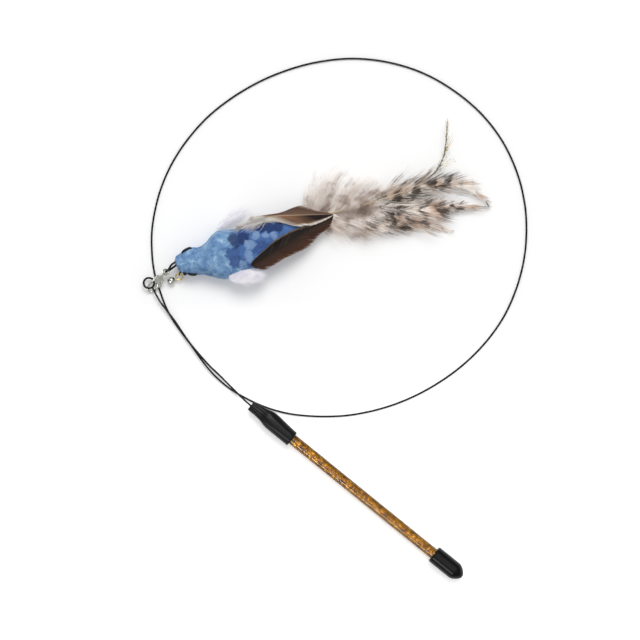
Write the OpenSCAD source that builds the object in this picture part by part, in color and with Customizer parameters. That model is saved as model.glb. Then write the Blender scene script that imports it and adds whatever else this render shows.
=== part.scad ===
// Cat teaser wand lying on a table, seen from above in the photograph.
// Millimetres. +X is right, +Y is away from the viewer, +Z is up, and the table is z = 0.

/* [Handle] */
// Outside diameter of the clear tube
tube_d = 7.3; // [6:0.1:10]
// Wall of the clear tube
tube_wall = 0.9; // [0.6:0.1:1.2]
// Length of the clear tube
tube_l = 156; // [120:1:200]
// Thickness of the rolled foil in the tube
foil_wall = 0.4; // [0.3:0.1:0.8]
// Wall of the vinyl cap round the tube
cap_wall = 2.15; // [1.5:0.05:3]
// Length of the vinyl cap
cap_l = 23.5; // [16:0.5:32]
// Solid end of the vinyl cap
cap_end = 5; // [3:0.5:8]
// Length of the cap's tapering end
cap_nose_l = 6.2; // [5.2:0.2:8]

/* [Sleeve] */
// Wall of the front sleeve round the tube
sleeve_wall = 1.8; // [1.2:0.1:2.4]
// Length of the sleeve's round part
sleeve_round_l = 19.6; // [14:0.2:24]
// Length of the sleeve's taper
sleeve_taper_l = 5.6; // [5.2:0.2:12]
// Length of the sleeve's pinched tip
sleeve_tip_l = 9.4; // [6:0.2:16]
// Width of the pinched tip
tip_w = 7.2; // [6:0.1:8]
// Thickness of the pinched tip
tip_t = 4.4; // [3.6:0.1:5.4]
// Length of the plug inside the tube
plug_grip_l = 14; // [8:0.5:24]
// Length of the plug in front of the tube
plug_nose_l = 3.5; // [2:0.5:3.5]

/* [Wire] */
// Diameter of the coated spring wire
wire_d = 1.2; // [0.8:0.1:1.3]
// Mean diameter of the eye at its end
eye_d = 6.8; // [6.4:0.1:7.2]
// Section of the eye
eye_section_d = 1.3; // [1:0.1:1.5]

/* [Clasp] */
// From the tail eye's centre to the outside of the hook
clasp_reach = 18.1; // [17.4:0.1:19]
// Mean diameter of the hook
hook_d = 5.1; // [4.9:0.1:5.4]
// Section of the hook
hook_section_d = 1.2; // [1:0.1:1.3]
// Thickness of the clasp's body
clasp_t = 2; // [1.8:0.1:2.4]
// Thickness of the lever
lever_t = 0.9; // [0.7:0.1:1.1]
// Diameter of the lever's pin
pin_d = 0.9; // [0.7:0.1:1.1]
// Hole of the tail eye
tail_hole_d = 2.8; // [2.6:0.1:3]
// Metal round the tail eye's hole
tail_rim = 1; // [0.8:0.1:1.3]
// Thickness of the tail eye
tail_t = 1.3; // [1:0.1:1.6]

/* [Toy] */
// Diameter of the doubled cord
cord_d = 1.3; // [1:0.1:1.4]
// Length of the fabric head
head_l = 84; // [76:1:92]
// Width of the fabric head
head_w = 34; // [30:1:38]
// Thickness of the fabric head
head_t = 17; // [15:0.5:19]
// Thickness of the fabric
cover_t = 0.8; // [0.5:0.1:1.2]
// Length of each fur tuft
tuft_l = 22; // [16:1:26]
// Width of the belly tuft
belly_tuft_w = 11; // [8:0.5:13]
// Width of the back tuft
back_tuft_w = 7; // [5:0.5:9]

/* [Feathers] */
// Length of the upper brown feather
upper_wing_l = 60; // [54:1:64]
// Length of the lower brown feather
lower_wing_l = 62; // [54:1:66]
// Length of the long barred feather
long_tail_l = 120; // [100:1:130]
// Length of the short barred feather
short_tail_l = 104; // [90:1:114]
// Length of the barred feather below them
fork_tail_l = 93; // [80:1:104]
// Length of the thin spotted feather
upright_l = 115; // [100:1:120]
// Length of the downy plume
plume_l = 61; // [50:1:66]
// Thickness of a feather's vane
vane_t = 0.6; // [0.4:0.1:0.8]
// Diameter of a feather's quill
quill_d = 1.2; // [0.8:0.1:1.3]

/* [Bell and ring] */
// Outside diameter of the bell
bell_d = 5.4; // [5:0.1:6]
// Wall of the bell
bell_wall = 0.4; // [0.3:0.05:0.5]
// Diameter of the ball in the bell
pellet_d = 1.8; // [1.4:0.1:2]
// Outside diameter of the jump ring
ring_d = 5.2; // [4.8:0.1:5.6]
// Section of the jump ring
ring_section_d = 0.8; // [0.6:0.1:0.9]

/* [Hidden] */

// Clearances: pressed fits, running fits, and soft pieces
press_gap = 0.05;
run_gap = 0.08;
soft_gap = 0.3;
// Overrun that every cut goes past the face it opens
cut = 0.5;

// Facets of true curves and of hulls
round_fn = 64;
hull_fn = 28;

// Handle: its axis lies one cap radius above the table, butt end at butt_at
cap_r = tube_d / 2 + cap_wall;
sleeve_r = tube_d / 2 + sleeve_wall;
bore_r = tube_d / 2 - tube_wall;
butt_at = [93.7, -147.9, cap_r];
handle_turn = 141;
sleeve_from = cap_end + tube_l - sleeve_round_l + soft_gap;
sleeve_l = sleeve_round_l + sleeve_taper_l + sleeve_tip_l;
tip_at = sleeve_from + sleeve_l;
plug_from = cap_end + tube_l - plug_grip_l;
wire_in_plug = 12;

// Point on the handle's axis, a distance from the butt
function on_handle(along) = butt_at + along * [cos(handle_turn), sin(handle_turn), 0];

// Tail eye of the clasp: the clasp and the toy both turn about a vertical line through it
tail_at = [-98.3, 49.7, 7.1];
clasp_heading = 228;
clasp_pitch = 18;
clasp_roll = -18;
hook_r = hook_d / 2;
hook_x = clasp_reach - hook_r - hook_section_d / 2;

// Eye of the wire, tilted so that the hook goes over its far side and under its near side
eye_at = [-109.4, 42.5, 3.7];
eye_tilt = 10;
eye_tilt_heading = 228;
eye_r = eye_d / 2;
neck_turn = -52;
wire_end = eye_at + eye_r * [cos(neck_turn), sin(neck_turn), sin(eye_tilt) * cos(neck_turn - eye_tilt_heading)];

// Wire route, chosen by hand: out of the sleeve, once round, over itself and into the eye
wire_route = concat(
    [on_handle(tip_at - wire_in_plug - sleeve_tip_l), on_handle(tip_at - sleeve_tip_l), on_handle(tip_at)],
    [
        [-46.5, -34.2, 5.7], [-50.5, -30.4, 5], [-57, -24, 3.6], [-64, -17, 2.2], [-69.6, -11.8, 1.1],
        [-76, -4.8, 0.7], [-83.4, 4, 0.6], [-88.8, 11, 0.6], [-94.4, 19.2, 0.6], [-98.6, 27.2, 0.6],
        [-102.4, 37.4, 0.6], [-105.8, 48.5, 0.6], [-107.5, 61, 0.6], [-107.6, 76, 0.6], [-105.3, 91, 0.6],
        [-101, 106, 0.6], [-93.6, 122, 0.6], [-83, 137.6, 0.6], [-69.6, 152, 0.6], [-53, 164.6, 0.6],
        [-34.6, 174.9, 0.6], [-15, 182.4, 0.6], [4, 186.8, 0.6], [24, 188.4, 0.6], [46, 186, 0.6],
        [68, 179.2, 0.6], [88, 168, 0.6], [106, 153, 0.6], [120, 135, 0.6], [129.6, 114.6, 0.6],
        [134.6, 94.5, 0.6], [135.8, 76, 0.6], [134.2, 58, 0.6], [129.6, 40, 0.6], [121.8, 22, 0.6],
        [110.4, 5.4, 0.6], [96.2, -9.2, 0.6], [80, -21.4, 0.6], [62, -31.4, 0.6], [43, -38.6, 0.6],
        [23, -43, 0.6], [5, -44.2, 0.6], [-12.6, -43.2, 0.6], [-26, -40.6, 0.6], [-38, -36.4, 0.6],
        [-50.4, -30.2, 0.9], [-58.4, -25, 1], [-65.6, -18.8, 1.6], [-70.8, -13.2, 2.4], [-76.2, -6.2, 2.6],
        [-82, 2.2, 2.6], [-87, 9.4, 2.6], [-92.6, 17.8, 2.6], [-97.8, 24.6, 2.7], [-102.4, 30.8, 3.2],
    ],
    [wire_end]
);

// Toy: its frame starts at the tail eye's line, on the table
toy_turn = 12;
nose_at = [0.095 * head_l, 0.125 * head_w];

// The head's sections as shares of head_l, head_w and head_t:
// along, sideways, half width, half thickness, height of the centre
head_shares = [
    [0, 0, 0.09, 0.16, 0.46], [0.045, -0.005, 0.21, 0.27, 0.45], [0.13, -0.02, 0.285, 0.37, 0.44],
    [0.21, -0.0575, 0.3075, 0.43, 0.45], [0.275, -0.055, 0.4, 0.47, 0.475], [0.35, -0.02, 0.5, 0.5, 0.5],
    [0.46, -0.045, 0.495, 0.5, 0.5], [0.62, -0.005, 0.455, 0.46, 0.47], [0.76, 0.075, 0.37, 0.37, 0.41],
    [0.88, 0.16, 0.25, 0.26, 0.38], [0.97, 0.235, 0.13, 0.18, 0.375], [1, 0.255, 0.105, 0.17, 0.375],
];
head_sides = 20;
rear_at = [nose_at[0] + head_l, nose_at[1] + 0.255 * head_w, 0.375 * head_t];

// Feathers: rows of shares along the length, sideways, height, and left and right width of the vane
upper_wing_shares = [
    [0, 0, 0, 0.07, 0.07], [0.06, 0.03, 0, 0.1, 0.1], [0.13, 0.053, -0.007, 0.3, 0.25],
    [0.26, 0.075, -0.007, 0.16, 0.5], [0.44, 0.067, -0.003, 0.24, 0.96], [0.55, 0.056, -0.005, 0.55, 1],
    [0.66, 0.043, -0.007, 0.7, 0.97], [0.75, 0.033, -0.01, 0.55, 0.85], [0.84, 0.022, -0.013, 0.3, 0.7],
    [0.93, 0.01, -0.016, 0.2, 0.4], [1, 0, -0.02, 0.05, 0.05],
];
upper_wing_w = 8.2;
lower_wing_shares = [
    [0, 0, 0, 0.1, 0.1], [0.05, 0, 0, 0.42, 0.42], [0.12, 0, 0, 0.56, 0.56], [0.25, 0, -0.005, 0.68, 0.68],
    [0.37, 0, -0.03, 0.76, 0.82], [0.59, 0, -0.08, 0.62, 1], [0.76, 0, -0.097, 0.2, 0.7],
    [0.91, 0, -0.104, 0.08, 0.55], [1, 0, -0.106, 0.04, 0.05],
];
lower_wing_w = 9.3;
long_tail_shares = [
    [0, 0, 0, 0.06, 0.06], [0.08, 0.014, 0.012, 0.08, 0.08], [0.17, 0.025, 0.016, 0.55, 0.42],
    [0.32, 0.04, 0.016, 0.94, 0.6], [0.54, 0.086, 0.003, 1, 0.84], [0.64, 0.111, -0.005, 0.86, 0.9],
    [0.76, 0.119, -0.013, 0.72, 0.66], [0.86, 0.105, -0.02, 0.52, 0.6], [0.94, 0.061, -0.025, 0.42, 0.5],
    [1, 0, -0.028, 0.1, 0.14],
];
long_tail_w = 9.7;
short_tail_shares = [
    [0, 0, 0, 0.07, 0.07], [0.09, 0.015, 0.005, 0.09, 0.09], [0.19, 0.021, 0.006, 0.35, 0.6],
    [0.37, 0.017, 0.006, 0.65, 0.96], [0.61, 0.008, -0.005, 0.77, 1], [0.86, -0.005, -0.022, 0.6, 0.9],
    [1, 0, -0.032, 0.16, 0.4],
];
short_tail_w = 9.1;
fork_tail_shares = [
    [0, 0, 0, 0.1, 0.1], [0.11, 0.014, 0.006, 0.14, 0.14], [0.28, 0.01, 0.009, 0.75, 0.82],
    [0.56, 0.02, 0.005, 0.84, 1], [0.78, 0.027, -0.016, 0.6, 0.72], [0.91, 0.02, -0.029, 0.34, 0.36],
    [1, 0, -0.036, 0.2, 0.2],
];
fork_tail_w = 6.3;
upright_shares = [
    [0, 0, 0, 0.35, 0.35], [0.08, -0.025, 0.01, 0.4, 0.4], [0.2, -0.066, 0.012, 0.4, 0.4],
    [0.31, -0.112, 0.012, 0.5, 0.5], [0.54, -0.185, 0.011, 0.7, 0.7], [0.63, -0.203, 0.008, 0.8, 0.8],
    [0.71, -0.21, 0.006, 0.8, 0.9], [0.78, -0.199, 0.004, 0.8, 1], [0.85, -0.163, 0.003, 0.7, 1],
    [0.92, -0.098, 0.001, 0.5, 1], [0.965, -0.042, -0.001, 0.4, 0.8], [1, 0, -0.002, 0.2, 0.2],
];
upright_w = 2;
plume_shares = [
    [0, 0, 0, 0.03, 0.03], [0.05, 0.01, -0.011, 0.04, 0.04], [0.1, 0.019, -0.018, 0.62, 0.35],
    [0.26, 0.045, -0.033, 0.94, 0.7], [0.46, 0.049, -0.036, 1, 1], [0.67, 0.046, -0.036, 0.82, 0.9],
    [0.85, 0.024, -0.037, 0.6, 0.64], [1, 0, -0.038, 0.18, 0.2],
];
plume_w = 22.5;
plume_fat_shares = [0.22, 0.22, 0.45, 0.9, 1, 0.9, 0.6, 0.25];
plume_t = 4.6;

// Points of a smooth curve through a route, steps to a span
function curve_at(a, b, c, d, t) =
    ((2 * b) + (c - a) * t + (2 * a - 5 * b + 4 * c - d) * t * t + (3 * b - a - 3 * c + d) * t * t * t) / 2;
function smooth(route, steps) = [
    for (i = [0 : len(route) - 2]) for (k = [0 : steps - 1])
        curve_at(route[max(i - 1, 0)], route[i], route[i + 1], route[min(i + 2, len(route) - 1)], k / steps),
    route[len(route) - 1],
];
function unit(v) = v / norm(v);
function heading_at(path, i) = unit(path[min(i + 1, len(path) - 1)] - path[max(i - 1, 0)]);

// Round ring of points square to the path, where side_of is roughly square to the whole path
function ring_at(path, i, r, sides, side_of) =
    let (along = heading_at(path, i), across = unit(cross(side_of, along)), up = cross(along, across))
    [for (k = [0 : sides - 1]) path[i] + r * (cos(360 * k / sides) * across + sin(360 * k / sides) * up)];

// Closed skin over rings that all have the same number of points
module skin(rings) {
    sides = len(rings[0]);
    last = (len(rings) - 1) * sides;
    walls = [
        for (i = [0 : len(rings) - 2]) for (k = [0 : sides - 1])
            let (a = i * sides + k, b = i * sides + (k + 1) % sides)
            each [[a, a + sides, b], [b, a + sides, b + sides]],
    ];
    fans = [for (k = [1 : sides - 2]) each [[0, k, k + 1], [last, last + k + 1, last + k]]];
    polyhedron([for (r = rings) each r], concat(walls, fans));
}

// Round tube along a path
module tube(path, d, sides, side_of = [0, 0, 1]) {
    skin([for (i = [0 : len(path) - 1]) ring_at(path, i, d / 2, sides, side_of)]);
}

// Feather blade: six-sided sections that are thin at both edges, in the feather's own frame
function blade_ring(row, length, wide, thick) =
    let (p = [row[0], row[1], row[2]] * length, left = row[3] * wide, right = row[4] * wide, h = thick / 2)
    [
        p + [0, left / 2, h], p + [0, -right / 2, h], p + [0, -right, 0],
        p + [0, -right / 2, -h], p + [0, left / 2, -h], p + [0, left, 0],
    ];
module blade(shares, length, wide, thicks) {
    skin([for (i = [0 : len(shares) - 1]) blade_ring(shares[i], length, wide, thicks[i])]);
}
function vane_thicks(shares) = [
    for (i = [0 : len(shares) - 1]) i == 0 ? quill_d : i == 1 ? (quill_d + vane_t) / 2 : vane_t,
];

// Frames of the clasp and of the toy
module at_handle() {
    translate(butt_at) rotate([0, 0, handle_turn]) rotate([0, 90, 0]) children();
}
module at_clasp() {
    translate(tail_at) rotate([clasp_roll, clasp_pitch, clasp_heading]) children();
}
module at_toy() {
    translate([tail_at[0], tail_at[1], 0]) rotate([0, 0, toy_turn]) children();
}
function toy_to_world(p) = [
    tail_at[0] + p[0] * cos(toy_turn) - p[1] * sin(toy_turn),
    tail_at[1] + p[0] * sin(toy_turn) + p[1] * cos(toy_turn),
    p[2],
];

// Wand

// The cap's end tapers to a blunt point: share of its length, share of the cap's radius
cap_nose_shares = [
    [0, 0.12], [0.03, 0.22], [0.1, 0.36], [0.24, 0.53], [0.42, 0.7], [0.645, 0.865], [0.84, 0.955], [1, 1],
];
cap_lip = 0.8;
module end_cap() {
    color("#171717") at_handle() rotate_extrude($fn = round_fn) difference() {
        polygon(concat(
            [[0, 0]],
            [for (s = cap_nose_shares) [s[1] * cap_r, s[0] * cap_nose_l]],
            [[cap_r, cap_l - cap_lip], [cap_r - cap_lip / 2, cap_l], [0, cap_l]]
        ));
        translate([-cut, cap_end]) square([tube_d / 2 + press_gap + cut, cap_l]);
    }
}

module handle_tube() {
    color("#C8A050", 0.5) at_handle() translate([0, 0, cap_end]) difference() {
        cylinder(h = tube_l, r = tube_d / 2, $fn = round_fn);
        translate([0, 0, -cut]) cylinder(h = tube_l + 2 * cut, r = bore_r, $fn = round_fn);
    }
}

module foil_liner() {
    liner_r = bore_r - run_gap;
    liner_l = tube_l - plug_grip_l - soft_gap;
    color("#B98A2E") at_handle() translate([0, 0, cap_end]) difference() {
        cylinder(h = liner_l, r = liner_r, $fn = round_fn);
        translate([0, 0, -cut]) cylinder(h = liner_l + 2 * cut, r = liner_r - foil_wall, $fn = round_fn);
    }
}

module wire_plug() {
    plug_r = bore_r - press_gap;
    plug_l = plug_grip_l + plug_nose_l;
    color("#D9C39A") at_handle() translate([0, 0, plug_from]) difference() {
        cylinder(h = plug_l, r = plug_r, $fn = round_fn);
        translate([0, 0, -cut]) cylinder(h = plug_l + 2 * cut, r = wire_d / 2 + press_gap, $fn = round_fn);
    }
}

module tip_section(w, t, h) {
    linear_extrude(h) hull() for (side = [-1, 1])
        translate([0, side * (w - t) / 2]) circle(t / 2, $fn = hull_fn);
}

// The taper starts a hair inside the round part, so that no flat side only touches the round one
module ferrule_sleeve() {
    passage_r = bore_r + press_gap;
    passage_l = plug_from + plug_grip_l + plug_nose_l + soft_gap - sleeve_from;
    color("#2C2C2E") at_handle() translate([0, 0, sleeve_from]) difference() {
        union() {
            cylinder(h = sleeve_round_l, r = sleeve_r, $fn = round_fn);
            hull() {
                translate([0, 0, sleeve_round_l - cut]) cylinder(h = cut, r = sleeve_r - run_gap, $fn = hull_fn);
                translate([0, 0, sleeve_round_l + sleeve_taper_l]) tip_section(tip_w, tip_t, cut);
            }
            translate([0, 0, sleeve_round_l + sleeve_taper_l]) tip_section(tip_w, tip_t, sleeve_tip_l);
        }
        translate([0, 0, -cut]) cylinder(h = sleeve_round_l + cut, r = tube_d / 2 + press_gap, $fn = round_fn);
        cylinder(h = passage_l, r = passage_r, $fn = round_fn);
        cylinder(h = sleeve_l + cut, r = wire_d / 2 + run_gap, $fn = round_fn);
    }
}

// The wire's last stretch, over its own first turn and into the eye, is the eye's shank
shank_stretches = 3;
shank_steps = 3;
fine_wire_path = smooth(wire_route, shank_steps);
shank_from = len(fine_wire_path) - 1 - shank_stretches * shank_steps;
shank_path = [for (i = [shank_from : len(fine_wire_path) - 1]) fine_wire_path[i]];

// Least distance from the wire to a stretch of itself that is far along it, less its diameter
wire_path = smooth(wire_route, 1);
wire_apart = 6;
function to_segment(p, a, b) =
    let (t = max(0, min(1, ((p - a) * (b - a)) / ((b - a) * (b - a))))) norm(p - a - t * (b - a));
wire_gap = min([
    for (i = [0 : len(wire_path) - 1]) for (k = [i + wire_apart : 1 : len(wire_path) - 2])
        to_segment(wire_path[i], wire_path[k], wire_path[k + 1]),
    for (i = [0 : len(wire_path) - 1]) for (k = [0 : 1 : i - wire_apart])
        to_segment(wire_path[i], wire_path[k], wire_path[k + 1]),
]) - wire_d;
function path_length(path, i = 0) = i < len(path) - 1 ? norm(path[i + 1] - path[i]) + path_length(path, i + 1) : 0;
echo(wire_length = path_length(wire_path), wire_rings = len(wire_path), wire_gap_to_itself = wire_gap);

module spring_wire() {
    strand = [for (i = [0 : len(wire_path) - 1 - shank_stretches]) wire_path[i]];
    color("#1B1B1D") tube(strand, wire_d, 8);
}

module wire_eye() {
    color("#1B1B1D") {
        translate(eye_at) rotate([0, 0, eye_tilt_heading]) rotate([0, -eye_tilt, 0])
            rotate_extrude($fn = round_fn) translate([eye_r, 0]) circle(eye_section_d / 2, $fn = hull_fn);
        tube(shank_path, wire_d, 8);
    }
}

// Clasp: flat in its own frame, +X from the tail eye to the hook, +Y to the lever's side

lever_pivot = [0.41 * clasp_reach, 0.3 * hook_d];
lever_tip_x = hook_x - run_gap;
lever_root_r = 0.32 * hook_d;
slot_t = lever_t + 2 * run_gap;

module clasp_body() {
    tail_r = tail_hole_d / 2 + tail_rim;
    half_w = hook_r + hook_section_d / 2;
    arm_from = 0.48 * clasp_reach;
    shoulder_shares = [
        [0.1, 0.18], [0.2, 0.3], [0.3, 0.78], [0.38, 1], [0.47, 0.98], [0.53, 0.86],
        [0.53, -1], [0.4, -1], [0.28, -0.72], [0.2, -0.36], [0.1, -0.2],
    ];
    color("#C9CBCC") at_clasp() {
        translate([hook_x, 0, 0]) rotate([0, 0, -90]) rotate_extrude(angle = 180, $fn = round_fn)
            translate([hook_r, 0]) circle(hook_section_d / 2, $fn = hull_fn);
        translate([arm_from, -hook_r, 0]) rotate([0, 90, 0])
            cylinder(h = hook_x - arm_from, r = hook_section_d / 2, $fn = round_fn);
        difference() {
            union() {
                translate([0, 0, -clasp_t / 2]) linear_extrude(clasp_t)
                    polygon([for (s = shoulder_shares) [s[0] * clasp_reach, s[1] * half_w]]);
                translate([0, 0, -tail_t / 2]) cylinder(h = tail_t, r = tail_r, $fn = round_fn);
            }
            translate([0, 0, -clasp_t]) cylinder(h = 2 * clasp_t, r = tail_hole_d / 2, $fn = round_fn);
            translate([lever_pivot[0] - 1.45 * lever_root_r, lever_pivot[1] - 1.25 * lever_root_r, -slot_t / 2])
                cube([clasp_reach, clasp_reach, slot_t]);
            translate([lever_pivot[0], lever_pivot[1], -clasp_t])
                cylinder(h = 2 * clasp_t, r = pin_d / 2 + run_gap, $fn = round_fn);
        }
    }
}

module clasp_lever() {
    gate_in = hook_r - hook_section_d / 2;
    gate_out = hook_r + hook_section_d / 2;
    knob_r = 0.22 * hook_d;
    color("#C9CBCC") at_clasp() difference() {
        union() {
            translate([0, 0, -lever_t / 2]) linear_extrude(lever_t) hull() {
                translate(lever_pivot) circle(lever_root_r, $fn = hull_fn);
                translate([0.58 * clasp_reach, gate_in]) square([hook_section_d, gate_out - gate_in]);
            }
            translate([0.58 * clasp_reach, gate_in, -lever_t / 2])
                cube([lever_tip_x - 0.58 * clasp_reach, gate_out - gate_in, lever_t]);
            translate([0.56 * clasp_reach, gate_out, -lever_t / 2])
                cylinder(h = lever_t, r = knob_r, $fn = round_fn);
        }
        translate([lever_pivot[0], lever_pivot[1], -clasp_t])
            cylinder(h = 2 * clasp_t, r = pin_d / 2 + run_gap, $fn = round_fn);
    }
}

module lever_pin() {
    color("#A9ABAD") at_clasp() translate([lever_pivot[0], lever_pivot[1], -clasp_t / 2])
        cylinder(h = clasp_t, r = pin_d / 2, $fn = round_fn);
}

module lever_spring() {
    leaf_t = 0.2 * lever_t;
    color("#8E9092") at_clasp()
        translate([lever_pivot[0] - lever_root_r - run_gap - leaf_t, lever_pivot[1] - lever_root_r, -lever_t / 2])
        cube([leaf_t, 2 * lever_root_r, lever_t]);
}

// Head and what is sewn to it

function head_ring(row, inset) = [
    for (k = [0 : head_sides - 1])
        let (a = 360 * k / head_sides)
        [
            nose_at[0] + row[0] * head_l,
            nose_at[1] + row[1] * head_w + (row[2] * head_w - inset) * cos(a),
            row[4] * head_t + (row[3] * head_t - inset) * sin(a),
        ],
];
module head_solid(grow) {
    skin([for (row = head_shares) head_ring(row, -grow)]);
}

module head_cover() {
    outer = [for (row = head_shares) each head_ring(row, 0)];
    inner = [for (row = head_shares) each head_ring(row, cover_t)];
    n = len(outer);
    last = n - head_sides;
    walls = [
        for (i = [0 : len(head_shares) - 2]) for (k = [0 : head_sides - 1])
            let (a = i * head_sides + k, b = i * head_sides + (k + 1) % head_sides)
            each [
                [a, a + head_sides, b], [b, a + head_sides, b + head_sides],
                [n + a, n + b, n + a + head_sides], [n + b, n + b + head_sides, n + a + head_sides],
            ],
    ];
    rims = [
        for (k = [0 : head_sides - 1])
            let (m = (k + 1) % head_sides)
            each [
                [k, m, n + k], [m, n + m, n + k],
                [last + k, n + last + k, last + m], [last + m, n + last + k, n + last + m],
            ],
    ];
    color("#6F9BC8") at_toy() polyhedron(concat(outer, inner), concat(walls, rims));
}

module head_filling() {
    inset = cover_t + soft_gap;
    color("#EDEDED") at_toy()
        skin([for (i = [2 : len(head_shares) - 3]) head_ring(head_shares[i], inset)]);
}

// Doubled cord: from the knot over the tail eye, down through it and back under it
cord_side = 0.8;
cord_top = tail_at[2] + 2.3 * cord_d;
cord_low = tail_at[2] - 2.3 * cord_d;
knot_at = [nose_at[0] + 0.075 * head_l, nose_at[1], 0.45 * head_t];
cord_route = [
    knot_at + [0, cord_side, 0], [nose_at[0] + cord_d, nose_at[1] + cord_side, 0.46 * head_t],
    [0.62 * nose_at[0], 0.72 * nose_at[1] + cord_side, cord_top - 0.2 * cord_d],
    [0.25 * nose_at[0], 0.2 * nose_at[1], cord_top],
    [0, 0, cord_top - cord_d], [0, 0, tail_at[2]], [0, 0, cord_low + cord_d],
    [0.25 * nose_at[0], 0.1 * nose_at[1], cord_low],
    [0.62 * nose_at[0], 0.62 * nose_at[1] - cord_side, cord_low + 0.2 * cord_d],
    [nose_at[0] + cord_d, nose_at[1] - cord_side, 0.46 * head_t], knot_at + [0, -cord_side, 0],
];

module cord_loop() {
    color("#161616") at_toy() tube(smooth(cord_route, 4), cord_d, 8, [0, 1, 0]);
}

module cord_knot() {
    color("#161616") at_toy() translate(knot_at + [cord_d, 0, 0]) rotate([0, 90, 0])
        cylinder(h = 2 * cord_d, r = 1.6 * cord_d, $fn = round_fn);
}

// Stitches of the same cord along the nose's two edges: along, sideways of both ends, height
stitch_shares = [
    [0.05, 0.215, 0.135, 0.275, 0.46], [0.074, -0.262, 0.13, -0.325, 0.44], [0.046, -0.2, 0.037, -0.325, 0.42],
];
module nose_stitches() {
    color("#161616") at_toy() for (s = stitch_shares)
        tube([
            [nose_at[0] + s[0] * head_l, nose_at[1] + s[1] * head_w, s[4] * head_t],
            [nose_at[0] + s[2] * head_l, nose_at[1] + s[3] * head_w, s[4] * head_t],
        ], 1.2 * cord_d, 8);
}

module back_tuft() {
    tuft_shares = [[0, 0.2], [0.15, 0.7], [0.4, 1], [0.7, 0.95], [0.9, 0.6], [1, 0.2]];
    color("#E9E6F2") at_toy() difference() {
        translate([nose_at[0] + 0.36 * head_l, nose_at[1] + 0.485 * head_w, 0.36 * head_t]) rotate([0, 0, 19])
            skin([for (s = tuft_shares) [for (k = [0 : 11])
                [s[0] * tuft_l, s[1] * back_tuft_w / 2 * cos(30 * k), s[1] * back_tuft_w * 0.42 * sin(30 * k)]]]);
        head_solid(soft_gap);
    }
}

module belly_tuft() {
    tuft_shares = [[0, 0.25], [0.1, 0.65], [0.3, 0.95], [0.55, 1], [0.8, 0.8], [0.94, 0.5], [1, 0.2]];
    color("#DAD7E6") at_toy() difference() {
        translate([nose_at[0] + 0.375 * head_l, nose_at[1] - 0.475 * head_w, 0.715 * head_t]) rotate([0, 0, -8])
            skin([for (s = tuft_shares) [for (k = [0 : 11])
                [s[0] * tuft_l, s[1] * belly_tuft_w / 2 * cos(30 * k), s[1] * belly_tuft_w * 0.42 * sin(30 * k)]]]);
        head_solid(soft_gap);
    }
}

// Feathers

module upper_wing() {
    color("#8A6650") at_toy()
        translate([nose_at[0] + 0.548 * head_l, nose_at[1] + 0.4 * head_w, 0.745 * head_t]) rotate([0, 0, -4.1])
        blade(upper_wing_shares, upper_wing_l, upper_wing_w, vane_thicks(upper_wing_shares));
}

module lower_wing() {
    color("#3B2A20") at_toy()
        translate([nose_at[0] + 0.563 * head_l, nose_at[1] - 0.354 * head_w, 0.955 * head_t]) rotate([0, 0, 19.7])
        blade(lower_wing_shares, lower_wing_l, lower_wing_w, vane_thicks(lower_wing_shares));
}

// Quill roots sit in the binding: two rows, side and height from its axis
root_step = 0.6 * quill_d;
binding_l = 5;
binding_from = rear_at[0] + press_gap;
function root_at(side, up) = [binding_from + 0.38 * binding_l, rear_at[1] + side * root_step, rear_at[2] + up * root_step];

module tail_binding() {
    bore = 2.4 * root_step + 0.8 * quill_d;
    color("#2A2A2A") at_toy() translate([binding_from, rear_at[1], rear_at[2]]) rotate([0, 90, 0]) difference() {
        cylinder(h = binding_l, r = bore + 0.5 * quill_d, $fn = round_fn);
        translate([0, 0, -cut]) cylinder(h = binding_l + 2 * cut, r = bore, $fn = round_fn);
    }
}

module long_tail() {
    color("#CFC3B6") at_toy() translate(root_at(1, 0.4)) rotate([0, 0, -5.9])
        blade(long_tail_shares, long_tail_l, long_tail_w, vane_thicks(long_tail_shares));
}

module short_tail() {
    color("#BDAFA2") at_toy() translate(root_at(-1, 0.45)) rotate([0, 0, -5.2])
        blade(short_tail_shares, short_tail_l, short_tail_w, vane_thicks(short_tail_shares));
}

module fork_tail() {
    color("#A79A8E") at_toy() translate(root_at(-1, -1.3)) rotate([0, 0, -14.5])
        blade(fork_tail_shares, fork_tail_l, fork_tail_w, vane_thicks(fork_tail_shares));
}

module upright_feather() {
    color("#4A4436") at_toy() translate(root_at(0, 2.2)) rotate([0, 0, 23.7])
        blade(upright_shares, upright_l, upright_w, vane_thicks(upright_shares));
}

module down_plume() {
    color("#B9A79A") at_toy() translate(root_at(1, -1.6)) rotate([0, 0, -3.5])
        blade(plume_shares, plume_l, plume_w, plume_t * plume_fat_shares);
}

// Jump ring on its thread, and the bell on the jump ring

ring_r = (ring_d - ring_section_d) / 2;
bell_r = bell_d / 2;
bell_heading = 206;
loop_r = 0.9;
loop_section_d = 0.5;
ring_at_world = [-89.8, 46.6, bell_r];
link_at = ring_at_world + ring_r * [cos(bell_heading), sin(bell_heading), 0];
bell_reach = bell_r + loop_r - loop_section_d / 4;

module jump_ring() {
    color("#C9A64E") translate(ring_at_world)
        rotate_extrude($fn = round_fn) translate([ring_r, 0]) circle(ring_section_d / 2, $fn = hull_fn);
}

module at_bell() {
    translate(link_at) rotate([0, 0, bell_heading]) children();
}

module bell_loop() {
    color("#B9BBBD") at_bell() rotate([90, 0, 0])
        rotate_extrude($fn = round_fn) translate([loop_r, 0]) circle(loop_section_d / 2, $fn = hull_fn);
}

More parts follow.
